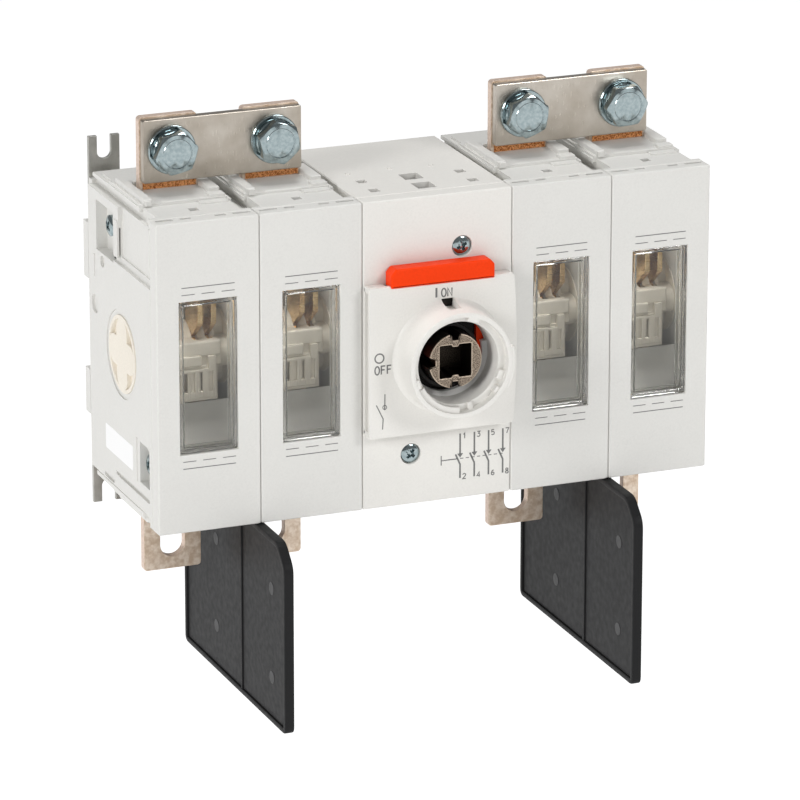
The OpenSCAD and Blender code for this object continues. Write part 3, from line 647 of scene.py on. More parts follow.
@dataclass(frozen=True)
class PlatedMetal:
    """Metal with a plated skin: drawn streaks, stains and, on cut edges, a second colour.

    Attributes:
        name: material name, the record's slot.
        color: linear colour of the skin.
        stain: linear colour of the stains.
        edge: linear colour where the mesh attribute "cut" is 1.
        roughness: lowest and highest roughness.
        streak: how much longer the streaks are along each axis.
        depth: height of the streaks in millimetres.
        patch: size of the stains in millimetres.
        metallic: share of metal, less than 1 under an oxide film.
    """

    name: str
    color: Color
    stain: Color
    edge: Color
    roughness: Pair = (0.25, 0.42)
    streak: Triple = (12.0, 1.0, 1.0)
    depth: float = 0.006
    patch: float = 9.0
    metallic: float = 1.0

    def material(self) -> bpy.types.Material:
        """Builds the material: stains over the skin, streaks as bump and gloss.

        Returns:
            The material.
        """
        s = Shader(self.name)
        s.bsdf.inputs["Metallic"].default_value = self.metallic
        skin = s.ramp(s.noise(self.patch, 4), 0.38, 0.66, self.stain, self.color)
        cut = s.ramp(s.noise(1.2, 3), 0.35, 0.65, tuple(c * 0.84 for c in self.edge), self.edge)
        s.link(s.mix(s.attribute("cut"), skin, cut), s.bsdf.inputs["Base Color"])
        streaks = s.noise(0.5, 3, self.streak)
        s.link(s.range(streaks, *self.roughness), s.bsdf.inputs["Roughness"])
        s.link(s.bump(streaks, self.depth, s.bump(s.noise(5, 3), self.depth * 3)), s.bsdf.inputs["Normal"])
        return s.material


@dataclass(frozen=True)
class GrainyMetal:
    """Sintered or cast metal: a coarse bright and dark grain with pits.

    Attributes:
        name: material name, the record's slot.
        dark: linear colour of the pits.
        light: linear colour of the grains.
        grain: size of the grains in millimetres.
        depth: depth of the pits in millimetres.
        roughness: lowest and highest roughness.
    """

    name: str
    dark: Color
    light: Color
    grain: float = 0.7
    depth: float = 0.09
    roughness: Pair = (0.3, 0.55)

    def material(self) -> bpy.types.Material:
        """Builds the material: one grain noise drives colour, gloss and pits; faces marked "pit" get painted
        shade and faces marked "worn" a painted highlight.

        Returns:
            The material.
        """
        s = Shader(self.name)
        s.bsdf.inputs["Metallic"].default_value = 1.0
        grain = s.noise(self.grain, 4)
        skin = s.ramp(grain, 0.36, 0.62, self.dark, self.light)
        # Painted shade: a near-black copy of the grain for faces deep in the socket.
        deep = s.ramp(grain, 0.3, 0.7, tuple(c * 0.12 for c in self.dark),
                      tuple(c * 0.12 for c in self.light))
        # Painted highlight: a brighter copy of the grain for the rounded edges.
        edge_highlight = s.ramp(grain, 0.3, 0.6, self.light, tuple(min(1, c * 1.7) for c in self.light))
        tone = s.mix(s.attribute("edge_highlight"), s.mix(s.attribute("socket_shade"), skin, deep), edge_highlight)
        s.link(tone, s.bsdf.inputs["Base Color"])
        s.link(s.range(grain, *self.roughness), s.bsdf.inputs["Roughness"])
        s.link(s.bump(grain, self.depth), s.bsdf.inputs["Normal"])
        return s.material


@dataclass(frozen=True)
class ClearPlastic:
    """Clear moulded plastic with a faint tint and a slight waviness.

    Attributes:
        name: material name, the record's slot.
        color: linear tint.
    """

    name: str
    color: Color

    def material(self) -> bpy.types.Material:
        """Builds the material: wavy glass that lets lamp light and soft light straight through.

        Returns:
            The material.
        """
        s = Shader(self.name)
        s.bsdf.inputs["Transmission Weight"].default_value = 1.0
        s.bsdf.inputs["IOR"].default_value = 1.5
        s.link(s.ramp(s.noise(20, 1), 0.3, 0.7, tuple(c * 0.97 for c in self.color), self.color),
               s.bsdf.inputs["Base Color"])
        s.link(s.range(s.noise(6, 2), 0.01, 0.05), s.bsdf.inputs["Roughness"])
        s.link(s.bump(s.noise(9, 1), 0.01), s.bsdf.inputs["Normal"])
        path, most, clear = (s.add("ShaderNode" + kind) for kind in ("LightPath", "Math", "BsdfTransparent"))
        most.operation = "MAXIMUM"
        s.link(path.outputs["Is Shadow Ray"], most.inputs[0])
        s.link(path.outputs["Is Diffuse Ray"], most.inputs[1])
        s.surface(most.outputs[0], s.bsdf.outputs[0], clear.outputs[0])
        return s.material


@dataclass(frozen=True)
class PanePlastic:
    """Thin clear pane: what lies behind shows straight through a faint mirror.

    Attributes:
        name: material name.
        color: linear tint.
    """

    name: str
    color: Color

    def material(self) -> bpy.types.Material:
        """Builds the material: a transparent and a mirror shader, mixed by Fresnel.

        Returns:
            The material.
        """
        s = Shader(self.name)
        kinds = ("BsdfTransparent", "BsdfGlossy", "Fresnel")
        clear, mirror, share = (s.add("ShaderNode" + kind) for kind in kinds)
        share.inputs["IOR"].default_value = 1.45
        mirror.inputs["Roughness"].default_value = 0.04
        s.link(s.ramp(s.noise(20, 1), 0.3, 0.7, tuple(c * 0.97 for c in self.color), self.color),
               clear.inputs["Color"])
        s.link(s.bump(s.noise(11, 1), 0.01), mirror.inputs["Normal"])
        s.surface(share.outputs[0], clear.outputs[0], mirror.outputs[0])
        s.tree.nodes.remove(s.bsdf)
        return s.material


# ---------------------------------------------------------------- modifiers


def add_weld(piece: bpy.types.Object) -> None:
    """Merges the points that lie together."""
    piece.modifiers.new("weld", "WELD").merge_threshold = SAME_POINT


def add_flatten(piece: bpy.types.Object) -> None:
    """Joins the triangles of each flat face."""
    flat = piece.modifiers.new("flat", "DECIMATE")
    flat.decimate_type, flat.angle_limit = "DISSOLVE", math.radians(0.5)


def add_bevel(piece: bpy.types.Object, width: float) -> bpy.types.Modifier:
    """Rounds the sharp edges a little.

    Args:
        piece: the object.
        width: width of the rounding in millimetres.

    Returns:
        The modifier.
    """
    bevel = piece.modifiers.new("edge", "BEVEL")
    bevel.width, bevel.segments = width * METRES, 2
    bevel.limit_method, bevel.angle_limit = "ANGLE", math.radians(35)
    return bevel


def read_faces(piece: bpy.types.Object, kind: str) -> np.ndarray:
    """Reads the normals or the middles of all faces.

    Args:
        piece: the object.
        kind: "normal" or "center".

    Returns:
        An (n, 3) array.
    """
    flat = np.zeros(len(piece.data.polygons) * 3)
    piece.data.polygons.foreach_get(kind, flat)
    return flat.reshape(-1, 3)


def mark_faces(piece: bpy.types.Object, name: str, values: np.ndarray) -> None:
    """Stores one number for each face as an attribute of the mesh."""
    piece.data.attributes.new(name, "FLOAT", "FACE").data.foreach_set("value", values.astype(np.float32))


# ---------------------------------------------------------------- palette


class Palette:
    """The materials of the switch, one for each slot of the record and a few extra."""

    def __init__(self) -> None:
        """Builds every finish once."""
        copper = srgb(228, 206, 190)
        finishes = [
            MouldedPlastic("housing_plastic", srgb(222, 221, 217)),
            MouldedPlastic("mechanism_plastic", srgb(230, 228, 223)),
            ClearPlastic("clear_plastic", srgb(244, 244, 242)),
            PanePlastic("pane_plastic", srgb(248, 248, 246)),
            PlatedMetal("tinned_copper", srgb(196, 189, 179), srgb(176, 167, 155), srgb(206, 196, 184),
                        (0.26, 0.42), (1, 1, 9), 0.008, 14.0),
            PlatedMetal("aged_tin", srgb(236, 220, 203), srgb(206, 182, 158), copper, (0.34, 0.52), (1, 1, 2),
                        0.02, 2.2, 0.5),
            PlatedMetal("contact_brass", srgb(240, 212, 164), srgb(206, 170, 122), srgb(250, 232, 196),
                        (0.18, 0.32)),
            MouldedPlastic("rotor_plastic", srgb(238, 231, 218), 0.05, (0.5, 0.65), 0.6, 0.02, 0.7),
            PlatedMetal("chute_steel", srgb(120, 122, 126), srgb(84, 86, 90), srgb(140, 140, 142),
                        (0.35, 0.5)),
            PlatedMetal("shaft_steel", srgb(170, 170, 172), srgb(126, 126, 130), srgb(180, 180, 182)),
            MouldedPlastic("drive_plastic", srgb(44, 44, 46), 0.1, (0.35, 0.5)),
            GrainyMetal("coupler_metal", srgb(70, 57, 47), srgb(172, 158, 142), 0.5, 0.07),
            MouldedPlastic("orange_plastic", srgb(246, 62, 2), 0.04, (0.36, 0.46), 0.6, 0.004, 0.9, 0.12),
            PlatedMetal("zinc_steel", srgb(166, 178, 180), srgb(146, 160, 163), srgb(166, 178, 180),
                        (0.06, 0.18), (1, 1, 1), 0.002, 1.6),
            MouldedPlastic("barrier_plastic", srgb(30, 30, 31), 0.05, (0.45, 0.55), 0.7, 0.005, 0.9, 0.15),
            PlatedMetal("fork_steel", srgb(200, 199, 194), srgb(178, 177, 172), srgb(206, 205, 200),
                        (0.4, 0.55), (1, 1, 6)),
            MouldedPlastic("ink", srgb(116, 116, 115), 0.05),
            MouldedPlastic("label_paper", srgb(246, 246, 246), 0.01, (0.5, 0.6), 0.3, 0.002),
            MouldedPlastic("rubbed_plastic", srgb(68, 68, 69), 0.05, (0.4, 0.5), 0.7, 0.004, 0.9, 0.15),
            # Near-black plastic used as painted shade inside the switch.
            MouldedPlastic("shadow_plastic", srgb(40, 38, 36), 0.08, specular=0.2),
            MouldedPlastic("inner_plastic", srgb(232, 231, 228), 0.04),
            GrainyMetal("bare_copper", srgb(150, 70, 26), srgb(252, 186, 126), 0.5, 0.08, (0.25, 0.5)),
        ]
        self.materials = {finish.name: finish.material() for finish in finishes}

    def dress(self, piece: bpy.types.Object, finish: str, body: Body,
              replaces: tuple[str, ...] = ()) -> bpy.types.Object:
        """Gives a new piece its finish and its body.

        Args:
            piece: the finished object.
            finish: name of the finish.
            body: the body that it rides on.
            replaces: CAD nodes that it stands for.

        Returns:
            The same object.
        """
        piece.data.materials.append(self.materials[finish])
        flat = piece.modifiers.new("flat_normals", "WEIGHTED_NORMAL")
        flat.keep_sharp = True
        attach(piece, body.value)
        if replaces:
            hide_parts(*replaces)
        LOG.info("piece %s: %d faces, %s on %s", piece.name, len(piece.data.polygons), finish, body.value)
        return piece

    def repaint(self, node: str, finish: str, edge: float = 0.25) -> None:
        """Gives a CAD node a better finish and, with modifiers, slightly round edges.

        Args:
            node: name of the CAD node.
            finish: name of the finish.
            edge: width of the rounding in millimetres, or 0.
        """
        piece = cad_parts[node]
        for holder in piece.material_slots:
            holder.material = self.materials[finish]
        if edge > 0:
            add_weld(piece)
            add_flatten(piece)
            add_bevel(piece, edge).harden_normals = True
        LOG.info("CAD node %s: %s", node, finish)


def recut(node: str, cutters: Solid, name: str) -> bpy.types.Object:
    """Copies a CAD node, merges it and takes the cutters away from the copy.

    Args:
        node: name of the CAD node.
        cutters: closed shells that don't touch each other.
        name: name of the new piece.

    Returns:
        The new object.
    """
    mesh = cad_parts[node].data.copy()
    mesh.materials.clear()
    piece = bpy.data.objects.new(name, mesh)
    bpy.context.scene.collection.objects.link(piece)
    knife = cutters.build("knife")
    add_weld(piece)
    cut = piece.modifiers.new("cut", "BOOLEAN")
    cut.operation, cut.solver, cut.object = "DIFFERENCE", "EXACT", knife
    add_flatten(piece)
    piece.data = bpy.data.meshes.new_from_object(piece.evaluated_get(bpy.context.evaluated_depsgraph_get()))
    piece.modifiers.clear()
    for old in (knife.data, mesh):
        bpy.data.meshes.remove(old)
    piece.data.polygons.foreach_set("use_smooth", np.ones(len(piece.data.polygons), bool))
    piece.data.set_sharp_from_angle(angle=math.radians(30))
    add_bevel(piece, 0.25)
    return piece


def mark_cut_edges(piece: bpy.types.Object, axis: int) -> None:
    """Sets the face attribute "cut" to 1 where a face doesn't look along the axis.

    Args:
        piece: a finished object.
        axis: 0, 1 or 2 for the axis across the sheet.
    """
    mark_faces(piece, "cut", abs(read_faces(piece, "normal")[:, axis]) < 0.6)


def mark_shade_and_highlight(piece: bpy.types.Object, centre: Pair, half: float, floor: float) -> None:
    """Sets the face attribute "pit", painted shade, inside a socket, and "worn", a painted highlight, on its
    rounded edges.

    Args:
        piece: a finished object whose socket runs along Y.
        centre: the socket's axis in X and Z.
        half: faces whose middle is nearer to the axis than this are inside.
        floor: depth past which every face gets the painted shade.
    """
    middles = read_faces(piece, "center") / METRES
    near = np.maximum(abs(middles[:, 0] - centre[0]), abs(middles[:, 2] - centre[1])) < half
    facing = abs(read_faces(piece, "normal")[:, 1])
    # Painted shade on the socket's walls and on every face behind the floor; painted highlight on the rounded
    # edges in front of it.
    mark_faces(piece, "socket_shade", (near & (facing < 0.3)) | (middles[:, 1] > floor))
    mark_faces(piece, "edge_highlight", (facing > 0.3) & (facing < 0.97) & (middles[:, 1] < floor))


# ---------------------------------------------------------------- marks

GLYPHS = {
    "1": [[(0.1, 0.75), (0.35, 1), (0.35, 0)]],
    "2": [[(0, 0.8), (0.12, 0.97), (0.4, 1), (0.58, 0.82), (0.52, 0.6), (0, 0), (0.6, 0)]],
    "3": [[(0.02, 1), (0.56, 1), (0.26, 0.62), (0.52, 0.52), (0.58, 0.24), (0.4, 0.02), (0.14, 0),
           (0, 0.14)]],
    "4": [[(0.44, 0), (0.44, 1), (0, 0.28), (0.62, 0.28)]],
    "5": [[(0.54, 1), (0.08, 1), (0.04, 0.56), (0.36, 0.62), (0.58, 0.42), (0.54, 0.12), (0.3, 0), (0, 0.1)]],
    "6": [[(0.5, 0.94), (0.24, 0.9), (0.04, 0.5), (0.06, 0.14), (0.3, 0), (0.54, 0.14), (0.56, 0.42),
           (0.32, 0.56), (0.06, 0.42)]],
    "7": [[(0, 1), (0.6, 1), (0.22, 0)]],
    "8": [[(0.3, 0.54), (0.06, 0.72), (0.1, 0.94), (0.3, 1), (0.5, 0.94), (0.54, 0.72), (0.3, 0.54),
           (0.02, 0.34), (0.06, 0.08), (0.3, 0), (0.54, 0.08), (0.58, 0.34), (0.3, 0.54)]],
    "O": [[(0.3 + 0.28 * math.cos(a), 0.5 + 0.5 * math.sin(a)) for a in np.linspace(0, TAU, 17)]],
    "N": [[(0.04, 0), (0.04, 1), (0.56, 0), (0.56, 1)]],
    "F": [[(0.06, 0), (0.06, 1), (0.54, 1)], [(0.06, 0.54), (0.48, 0.54)]],
}


@dataclass
class Marks:
    """Printed lines and characters on the front.

    Attributes:
        palette: the finishes.
        thick: thickness of the ink in millimetres.
        pen: stroke width of the lines.
    """

    palette: Palette
    thick: float = 0.05
    pen: float = 0.45

    def line(self, solid: Solid, points: list[Pair], y: float, pen: float | None = None,
             closed: bool = False) -> None:
        """Draws one line just in front of a face.

        Args:
            solid: where it goes.
            points: points of the line.
            y: level of the face.
            pen: stroke width, by default the pen's.
            closed: the line returns to its start.
        """
        solid.ribbon(points, pen or self.pen, y - self.thick, y + 0.02, closed=closed)

    def text(self, solid: Solid, words: str, x: float, z: float, height: float, y: float,
             pen: float = 0.4) -> None:
        """Writes characters in strokes.

        Args:
            solid: where they go.
            words: the characters.
            x: left end of the first.
            z: height of their feet.
            height: their height.
            y: level of the face.
            pen: stroke width.
        """
        for k, char in enumerate(words):
            for stroke in GLYPHS[char]:
                p = [(x + (k * 0.76 + a) * height, z + b * height) for a, b in stroke]
                self.line(solid, p, y, pen)

    def window_lines(self, n: int) -> None:
        """Draws a solid and a dashed line above and below a window.

        Args:
            n: number of the pole.
        """
        solid, x = Solid(), POLE_X[n]
        for side in (-1, 1):
            self.line(solid, [(x - 11.75, side * 39.6), (x + 11.75, side * 39.6)], FACE_Y, 0.37)
            for k in range(3):
                a = x - 11.75 + k * 8.85
                self.line(solid, [(a, side * 36.5), (a + 5.8, side * 36.5)], FACE_Y, 0.33)
        self.palette.dress(solid.build(f"window_lines_{n}"), "ink", Body.ROOT)

    def positions(self) -> None:
        """Draws the position marks and the switch symbol on the bezel."""
        solid, y = Solid(), BEZEL_Y
        self.line(solid, [(-3.4, 25.2), (-3.4, 29.4)], y, 0.9)
        self.text(solid, "ON", -1.1, 25.2, 3.6, y, 0.62)
        ring = [(-29.2 + 2 * math.cos(a), 1.2 + 2 * math.sin(a)) for a in np.arange(24) * TAU / 24]
        self.line(solid, ring, y, 0.6, closed=True)
        self.text(solid, "OFF", -31.3, -5.9, 3.6, y, 0.6)
        self.line(solid, [(-26.7, -14.9), (-26.8, -21.9)], y)
        small = [(-26.8 + 0.9 * math.cos(a), -20.7 + 0.9 * math.sin(a)) for a in np.arange(16) * TAU / 16]
        self.line(solid, small, y, 0.3, closed=True)
        self.line(solid, [(-30.6, -19.4), (-27.5, -25.8), (-27.8, -30.4)], y)
        self.palette.dress(solid.build("position_marks"), "ink", Body.ROOT)

    def diagram(self) -> None:
        """Draws the circuit of four linked switches on the mechanism cover."""
        solid, y = Solid(), FACE_Y
        for k in range(4):
            x = 10.6 + 6.58 * k
            self.line(solid, [(x, -39.1), (x, -48.2)], y, 0.75)
            solid.slab(fillet([(x - 1.3, -48.0), (x + 1.4, -48.0), (x, -49.9)], 0.2), y - self.thick,
                       y + 0.02, edge=0)
            self.line(solid, [(x - 2.1, -48.2), (x, -52.9), (x, -59.1)], y, 0.75)
            self.text(solid, str(2 * k + 1), x + 1.3, -41.4, 2.3, y, 0.42)
            self.text(solid, str(2 * k + 2), x + 1.3, -59.6, 2.3, y, 0.42)
        self.line(solid, [(1.9, -48.1), (1.9, -52.4)], y)
        self.line(solid, [(1.9, -50.3), (9.4, -50.3)], y)
        for a in np.arange(10.6, 29.0, 2.6):
            self.line(solid, [(a, -50.3), (a + 1.5, -50.3)], y, 0.36)
        self.palette.dress(solid.build("circuit_marks"), "ink", Body.ROOT)


# ---------------------------------------------------------------- sub-assemblies


@dataclass
class PoleModule:
    """One switching pole: housing, cover, window tray and what shows behind it.

    Attributes:
        n: number of the pole, from the left.
        palette: the finishes.
        window: width and height of the window.
        gap: play of the tray in the cover.
        setback: how far the tray lies behind the cover's face.
        rim: width of the tray's front rim.
        wall: thickness of the tray's rear walls.
        inside: half of the width inside the housing.
        outer: distance of the free walls from the middle of the switch.
        dimple: middle of the round recess in a free wall.
        pockets: low corner, high corner and depth of each pocket in a free wall.
        ribs: low and high corner of each rib on the roof, from the middle of the pole.
    """

    n: int
    palette: Palette
    window: Pair = (26.0, 67.0)
    gap: float = 0.15
    setback: float = 0.5
    rim: float = 2.1
    wall: float = 1.2
    inside: float = 20.2
    outer: float = 125.9
    dimple: Pair = (-24.5, 33.4)
    pockets: tuple[tuple[Pair, Pair, float], ...] = (
        ((-84.2, 41.2), (-45.6, 63.8), 2.0), ((-84.2, 65.2), (-47, 66.6), 1.2),
        ((-81.8, -57.4), (-42, -55.4), 1.2), ((-36.4, -62.4), (-24, -60.6), 1.0),
    )
    ribs: tuple[tuple[Triple, Triple], ...] = (
        ((-18.0, -67.3, 68.6), (-15.2, -65.7, 71.0)), ((-10.4, -65.6, 68.9), (9.6, -64.8, 69.5)),
        ((10.8, -65.4, 69.0), (17.9, -60.6, 70.4)), ((-13.4, -38.4, 69.0), (13.4, -36.9, 71.4)),
        ((-14.2, -57.6, 69.0), (-13.5, -46.4, 70.6)), ((5.4, -70.6, 67.8), (17.4, -66.3, 68.7)),
    )

    def build(self) -> None:
        """Builds the pole's own pieces in order."""
        self.shell()
        self.tray()
        self.inner_walls()
        self.roof_details()

    def shell(self) -> None:
        """Finishes the housing and its cover, and cuts the pockets of an outer pole's free wall."""
        node, side = f"pole_housing_{self.n}", {1: -1, 4: 1}.get(self.n, 0)
        self.palette.repaint(f"pole_cover_{self.n}", "housing_plastic", 0.25)
        if side == 0:
            self.palette.repaint(node, "housing_plastic", 0.2)
            return
        cutters = Solid()
        shapes = [(round_rect(low, high, 0.6, 2), deep) for low, high, deep in self.pockets]
        shapes.append((circle(self.dimple, 2.6, 24), 1.5))
        for outline, deep in shapes:
            x = sorted((side * (self.outer + 3), side * (self.outer - deep)))
            cutters.slab(outline, x[0], x[1], Plane.YZ, edge=0)
        self.palette.dress(recut(node, cutters, f"housing_shell_{self.n}"), "housing_plastic", Body.ROOT,
                           (node,))

    def tray(self) -> None:
        """Clear window: a stepped frame, whose rear walls are thinner, round a thin pane."""
        w, h = self.window[0] / 2 - self.gap, self.window[1] / 2 - self.gap
        outline = round_rect((-w, -h), (w, h), 0.8, 3) + [POLE_X[self.n], 0]
        f = FACE_Y + self.setback
        solid = Solid().frame(outline, inset(outline, self.rim), f, f + 3.4, edge=0.25)
        solid.frame(inset(outline, self.gap), inset(outline, self.wall), f + 3.42, f + 8.9, edge=0.2)
        self.palette.dress(solid.build(f"window_frame_{self.n}", 12), "clear_plastic", Body.ROOT,
                           (f"window_{self.n}",))
        low, high = outline.min(0) + 2.0, outline.max(0) - 2.0
        corners = np.array([low, (high[0], low[1]), high, (low[0], high[1])])
        pane = Solid().slab(corners, f + 1.8, f + 3.0, edge=0)
        self.palette.dress(pane.build(f"window_pane_{self.n}", 5), "pane_plastic", Body.ROOT)

    def inner_walls(self) -> None:
        """Scoop below the rotor, and a dark panel behind the blades that is painted shade.

        The scoop is a quarter turn from under the rotor to the foot of the window:
        depth = -84 + 19.5 (cos t)^0.8, height = -20.5 - 17.5 sin t, swept across X.
        """
        x = POLE_X[self.n]
        t = np.linspace(0, math.pi / 2, 17)
        line = np.stack([-84 + 19.5 * np.cos(t) ** 0.8, -20.5 - 17.5 * np.sin(t)], -1)
        across = np.array([x - self.inside, x + self.inside])
        rows = [np.stack([np.full(17, a), line[:, 0] + g, line[:, 1] - g * 0.3], -1)
                for a, g in ((across[0], 0), (across[1], 0), (across[1], 0.8), (across[0], 0.8))]
        solid = Solid().grid(np.stack(rows, 1), wrap_v=True, caps=True)
        self.palette.dress(solid.build(f"inner_scoop_{self.n}"), "inner_plastic", Body.ROOT)
        # Painted shade: a near-black panel stands for the shade behind the blades.
        back = Solid().box((x - self.inside, -33.6, 6), (x + self.inside, -32.6, 39), 0.2)
        self.palette.dress(back.build(f"blade_shade_panel_{self.n}"), "shadow_plastic", Body.ROOT)

    def roof_details(self) -> None:
        """Small ribs and stops on the top, and the same again on the bottom."""
        x, solid = POLE_X[self.n], Solid()
        for s in (1, -1):
            for low, high in self.ribs:
                z = sorted((s * low[2], s * high[2]))
                solid.box((x + low[0], low[1], z[0]), (x + high[0], high[1], z[1]), 0.25)
        self.palette.dress(solid.build(f"roof_ribs_{self.n}"), "housing_plastic", Body.ROOT)


@dataclass
class ContactSet:
    """Rotor, blades and arc chutes of one pole.

    Attributes:
        n: number of the pole.
        palette: the finishes.
        plates: low corner, high corner, front and edge radius of each flat part of the carrier.
        bars: near side, far side and top of each upright bar, repeated on both sides.
    """

    n: int
    palette: Palette
    plates: tuple[tuple[Pair, Pair, float, float], ...] = (
        ((-14.8, 0.4), (14.8, 7.2), 68.0, 0.9), ((-5.7, -3.4), (5.7, 1.3), 69.2, 0.8),
        ((-11.9, -17.6), (11.9, -14.6), 69.0, 0.5), ((-12.0, -6.2), (12.0, -4.6), 69.0, 0.5),
    )
    bars: tuple[Triple, ...] = (
        (0.0, 0.8, -5.0), (2.4, 4.3, -5.0), (5.9, 8.8, -5.0), (10.5, 12.0, -5.0), (8.6, 12.1, 0.7),
    )

    def build(self) -> None:
        """Builds and finishes the pole's inside."""
        self.dress()
        self.carrier_face()

    def dress(self) -> None:
        """Finishes the CAD pieces of the pole's inside."""
        self.palette.repaint(f"rotor_{self.n}", "rotor_plastic", 0.25)
        self.palette.repaint(f"moving_contacts_{self.n}", "contact_brass", 0.3)
        self.palette.repaint(f"arc_chutes_{self.n}", "chute_steel", 0.1)

    def carrier_face(self) -> None:
        """Front of the rotor: plate, hub block and a skirt of upright ribs with a finger at each end."""
        x, solid = POLE_X[self.n], Solid()
        for low, high, front, edge in self.plates:
            outline = round_rect((x + low[0], low[1]), (x + high[0], high[1]), edge, 3)
            solid.slab(outline, -front, -66.4, edge=edge, steps=3)
        for s in (-1, 1):
            for a, b, top in self.bars:
                r = sorted((x + s * a, x + s * b))
                low = -17.2 if top < 0 else -6.0
                solid.slab(round_rect((r[0], low), (r[1], top), 0.5, 2), -69.1, -67.2, edge=0.45, steps=3)
        self.palette.dress(solid.build(f"carrier_face_{self.n}"), "rotor_plastic", Body.ROTOR)


@dataclass
class Terminals:
    """The eight terminals, the jumper bars and their bolts.

    Attributes:
        palette: the finishes.
        width: width of a terminal.
        front, back: levels of its faces.
        tip: height of its outer end above the middle.
        bolt_z: height of the bolts.
        across_flats: of the bolt heads and nuts.
        shank: diameter of the bolts.
        jumper_z: heights of the jumper bars' edges.
        jumper_thick: their thickness.
        turns: angle of each bolt's hexagon in degrees.
    """

    palette: Palette
    width: float = 26.0
    front: float = -45.0
    back: float = -41.0
    tip: float = 101.0
    bolt_z: float = 86.9
    across_flats: float = 17.0
    shank: float = 10.0
    jumper_z: Pair = (72.9, 100.3)
    jumper_thick: float = 4.0
    turns: tuple[float, ...] = (12.0, 41.0, 22.0, 3.0)

    def build(self) -> None:
        """Builds all terminals, the jumper bars and the bolts."""
        for n in POLES:
            self.bar(n, True)
            self.bar(n, False)
            self.foot_strip(n)
        self.jumper("left", 1, 2)
        self.jumper("right", 3, 4)
        self.bolts()

    def bar(self, n: int, upper: bool) -> None:
        """One terminal: a slotted strip with its two knives.

        Args:
            n: number of the pole.
            upper: the line side, or else the load side.
        """
        x, s, w = POLE_X[n], (1 if upper else -1), self.width / 2
        ends = sorted((s * 40.0, s * self.tip))
        outline = round_rect((x - w, ends[0]), (x + w, ends[1]), 1.6, 4)
        hole = slot((x, s * self.bolt_z), 11, 6, 32)
        solid = Solid().frame(outline, hole, self.front, self.back, edge=0.35)
        for side in (-1, 1):
            a = x + side * 9
            if upper:
                solid.box((a - 1.5, -50, 16.2), (a + 1.5, -38, 48), 0.2)
            else:
                solid.box((a - 1.5, -59, -48), (a + 1.5, -47, -18.2), 0.2)
                solid.box((a - 1.5, -48, -48), (a + 1.5, -41, -39), 0.2)
        name = "line" if upper else "load"
        piece = solid.build(f"{name}_strip_{n}")
        mark_cut_edges(piece, 1)
        self.palette.dress(piece, "aged_tin", Body.ROOT, (f"{name}_terminal_{n}",))

    def foot_strip(self, n: int) -> None:
        """Bare copper that shows on a terminal just under the jumper bar.

        Args:
            n: number of the pole.
        """
        x = POLE_X[n]
        solid = Solid().box((x - 11.5, self.front - 0.25, 69.4), (x + 12.2, self.front + 0.1, 72.9), 0.1)
        self.palette.dress(solid.build(f"bare_copper_{n}"), "bare_copper", Body.ROOT)

    def jumper(self, side: str, a: int, b: int) -> None:
        """Jumper bar between two poles: a rounded plate with two holes.

        Args:
            side: left or right.
            a: first pole.
            b: second pole.
        """
        low, high = self.jumper_z
        outline = round_rect((POLE_X[a] - 12.5, low), (POLE_X[b] + 12.5, high), 0.8, 3)
        holes = [circle((POLE_X[n], self.bolt_z), 5.5, 32) for n in (a, b)]
        solid = Solid().plate([outline, *holes], self.front - self.jumper_thick, self.front, edge=0.4)
        piece = solid.build(f"jumper_{side}")
        self.palette.dress(piece, "tinned_copper", Body.ROOT, (f"jumper_bar_{side}",))

    def hexagon(self, solid: Solid, centre: Pair, low: float, high: float, turn: float,
                both: bool = False) -> None:
        """Hexagon with its corners cut by a 30 degree cone.

        The side lies at radius flats / 2 / cos(a mod 60 - 30) and its height falls
        with tan 30 beyond the inscribed circle.

        Args:
            solid: where it goes.
            centre: its axis in X and Z.
            low: depth of its free face.
            high: depth of its seat.
            turn: angle of a corner in degrees.
            both: the cone cuts both ends.
        """
        a = np.radians(np.arange(0, 360, 5.0))
        across = self.across_flats / 2
        side = across / np.cos((a - math.radians(turn)) % (math.pi / 3) - math.pi / 6)
        flat = across * 0.95
        fall = (side - flat) * math.tan(math.radians(30))
        ones = np.ones_like(a)
        radii = [0 * ones, flat * ones, side, side]
        depths = [low * ones, low * ones, low + fall, high - (fall if both else 0 * fall)]
        if both:
            radii, depths = radii + [flat * ones, 0 * ones], depths + [high * ones, high * ones]
        else:
            radii, depths = radii + [0 * ones], depths + [high * ones]
        rings = [in_row(Plane.XZ, np.array(centre) + r[:, None] * np.stack([np.cos(a), np.sin(a)], -1), d)
                 for r, d in zip(radii, depths)]
        solid.grid(np.stack(rings), wrap_v=True)

    def thread(self, solid: Solid, centre: Pair, low: float, high: float) -> None:
        """Bolt shank with rings of thread, a pitch apart, from its middle to its end.

        Args:
            solid: where it goes.
            centre: its axis in X and Z.
            low: depth of its start.
            high: depth of its end.
        """
        r, pitch = self.shank / 2, 1.5
        count = int((high - low - 10) / pitch)
        profile = [(0, low), (r, low), (r, low + 8)]
        for k in range(count):
            at = low + 8.6 + k * pitch
            profile += [(r - 0.75, at), (r, at + 0.55), (r, at + 0.8)]
        solid.revolve(profile + [(r - 1, high), (0, high)], centre, steps=28)

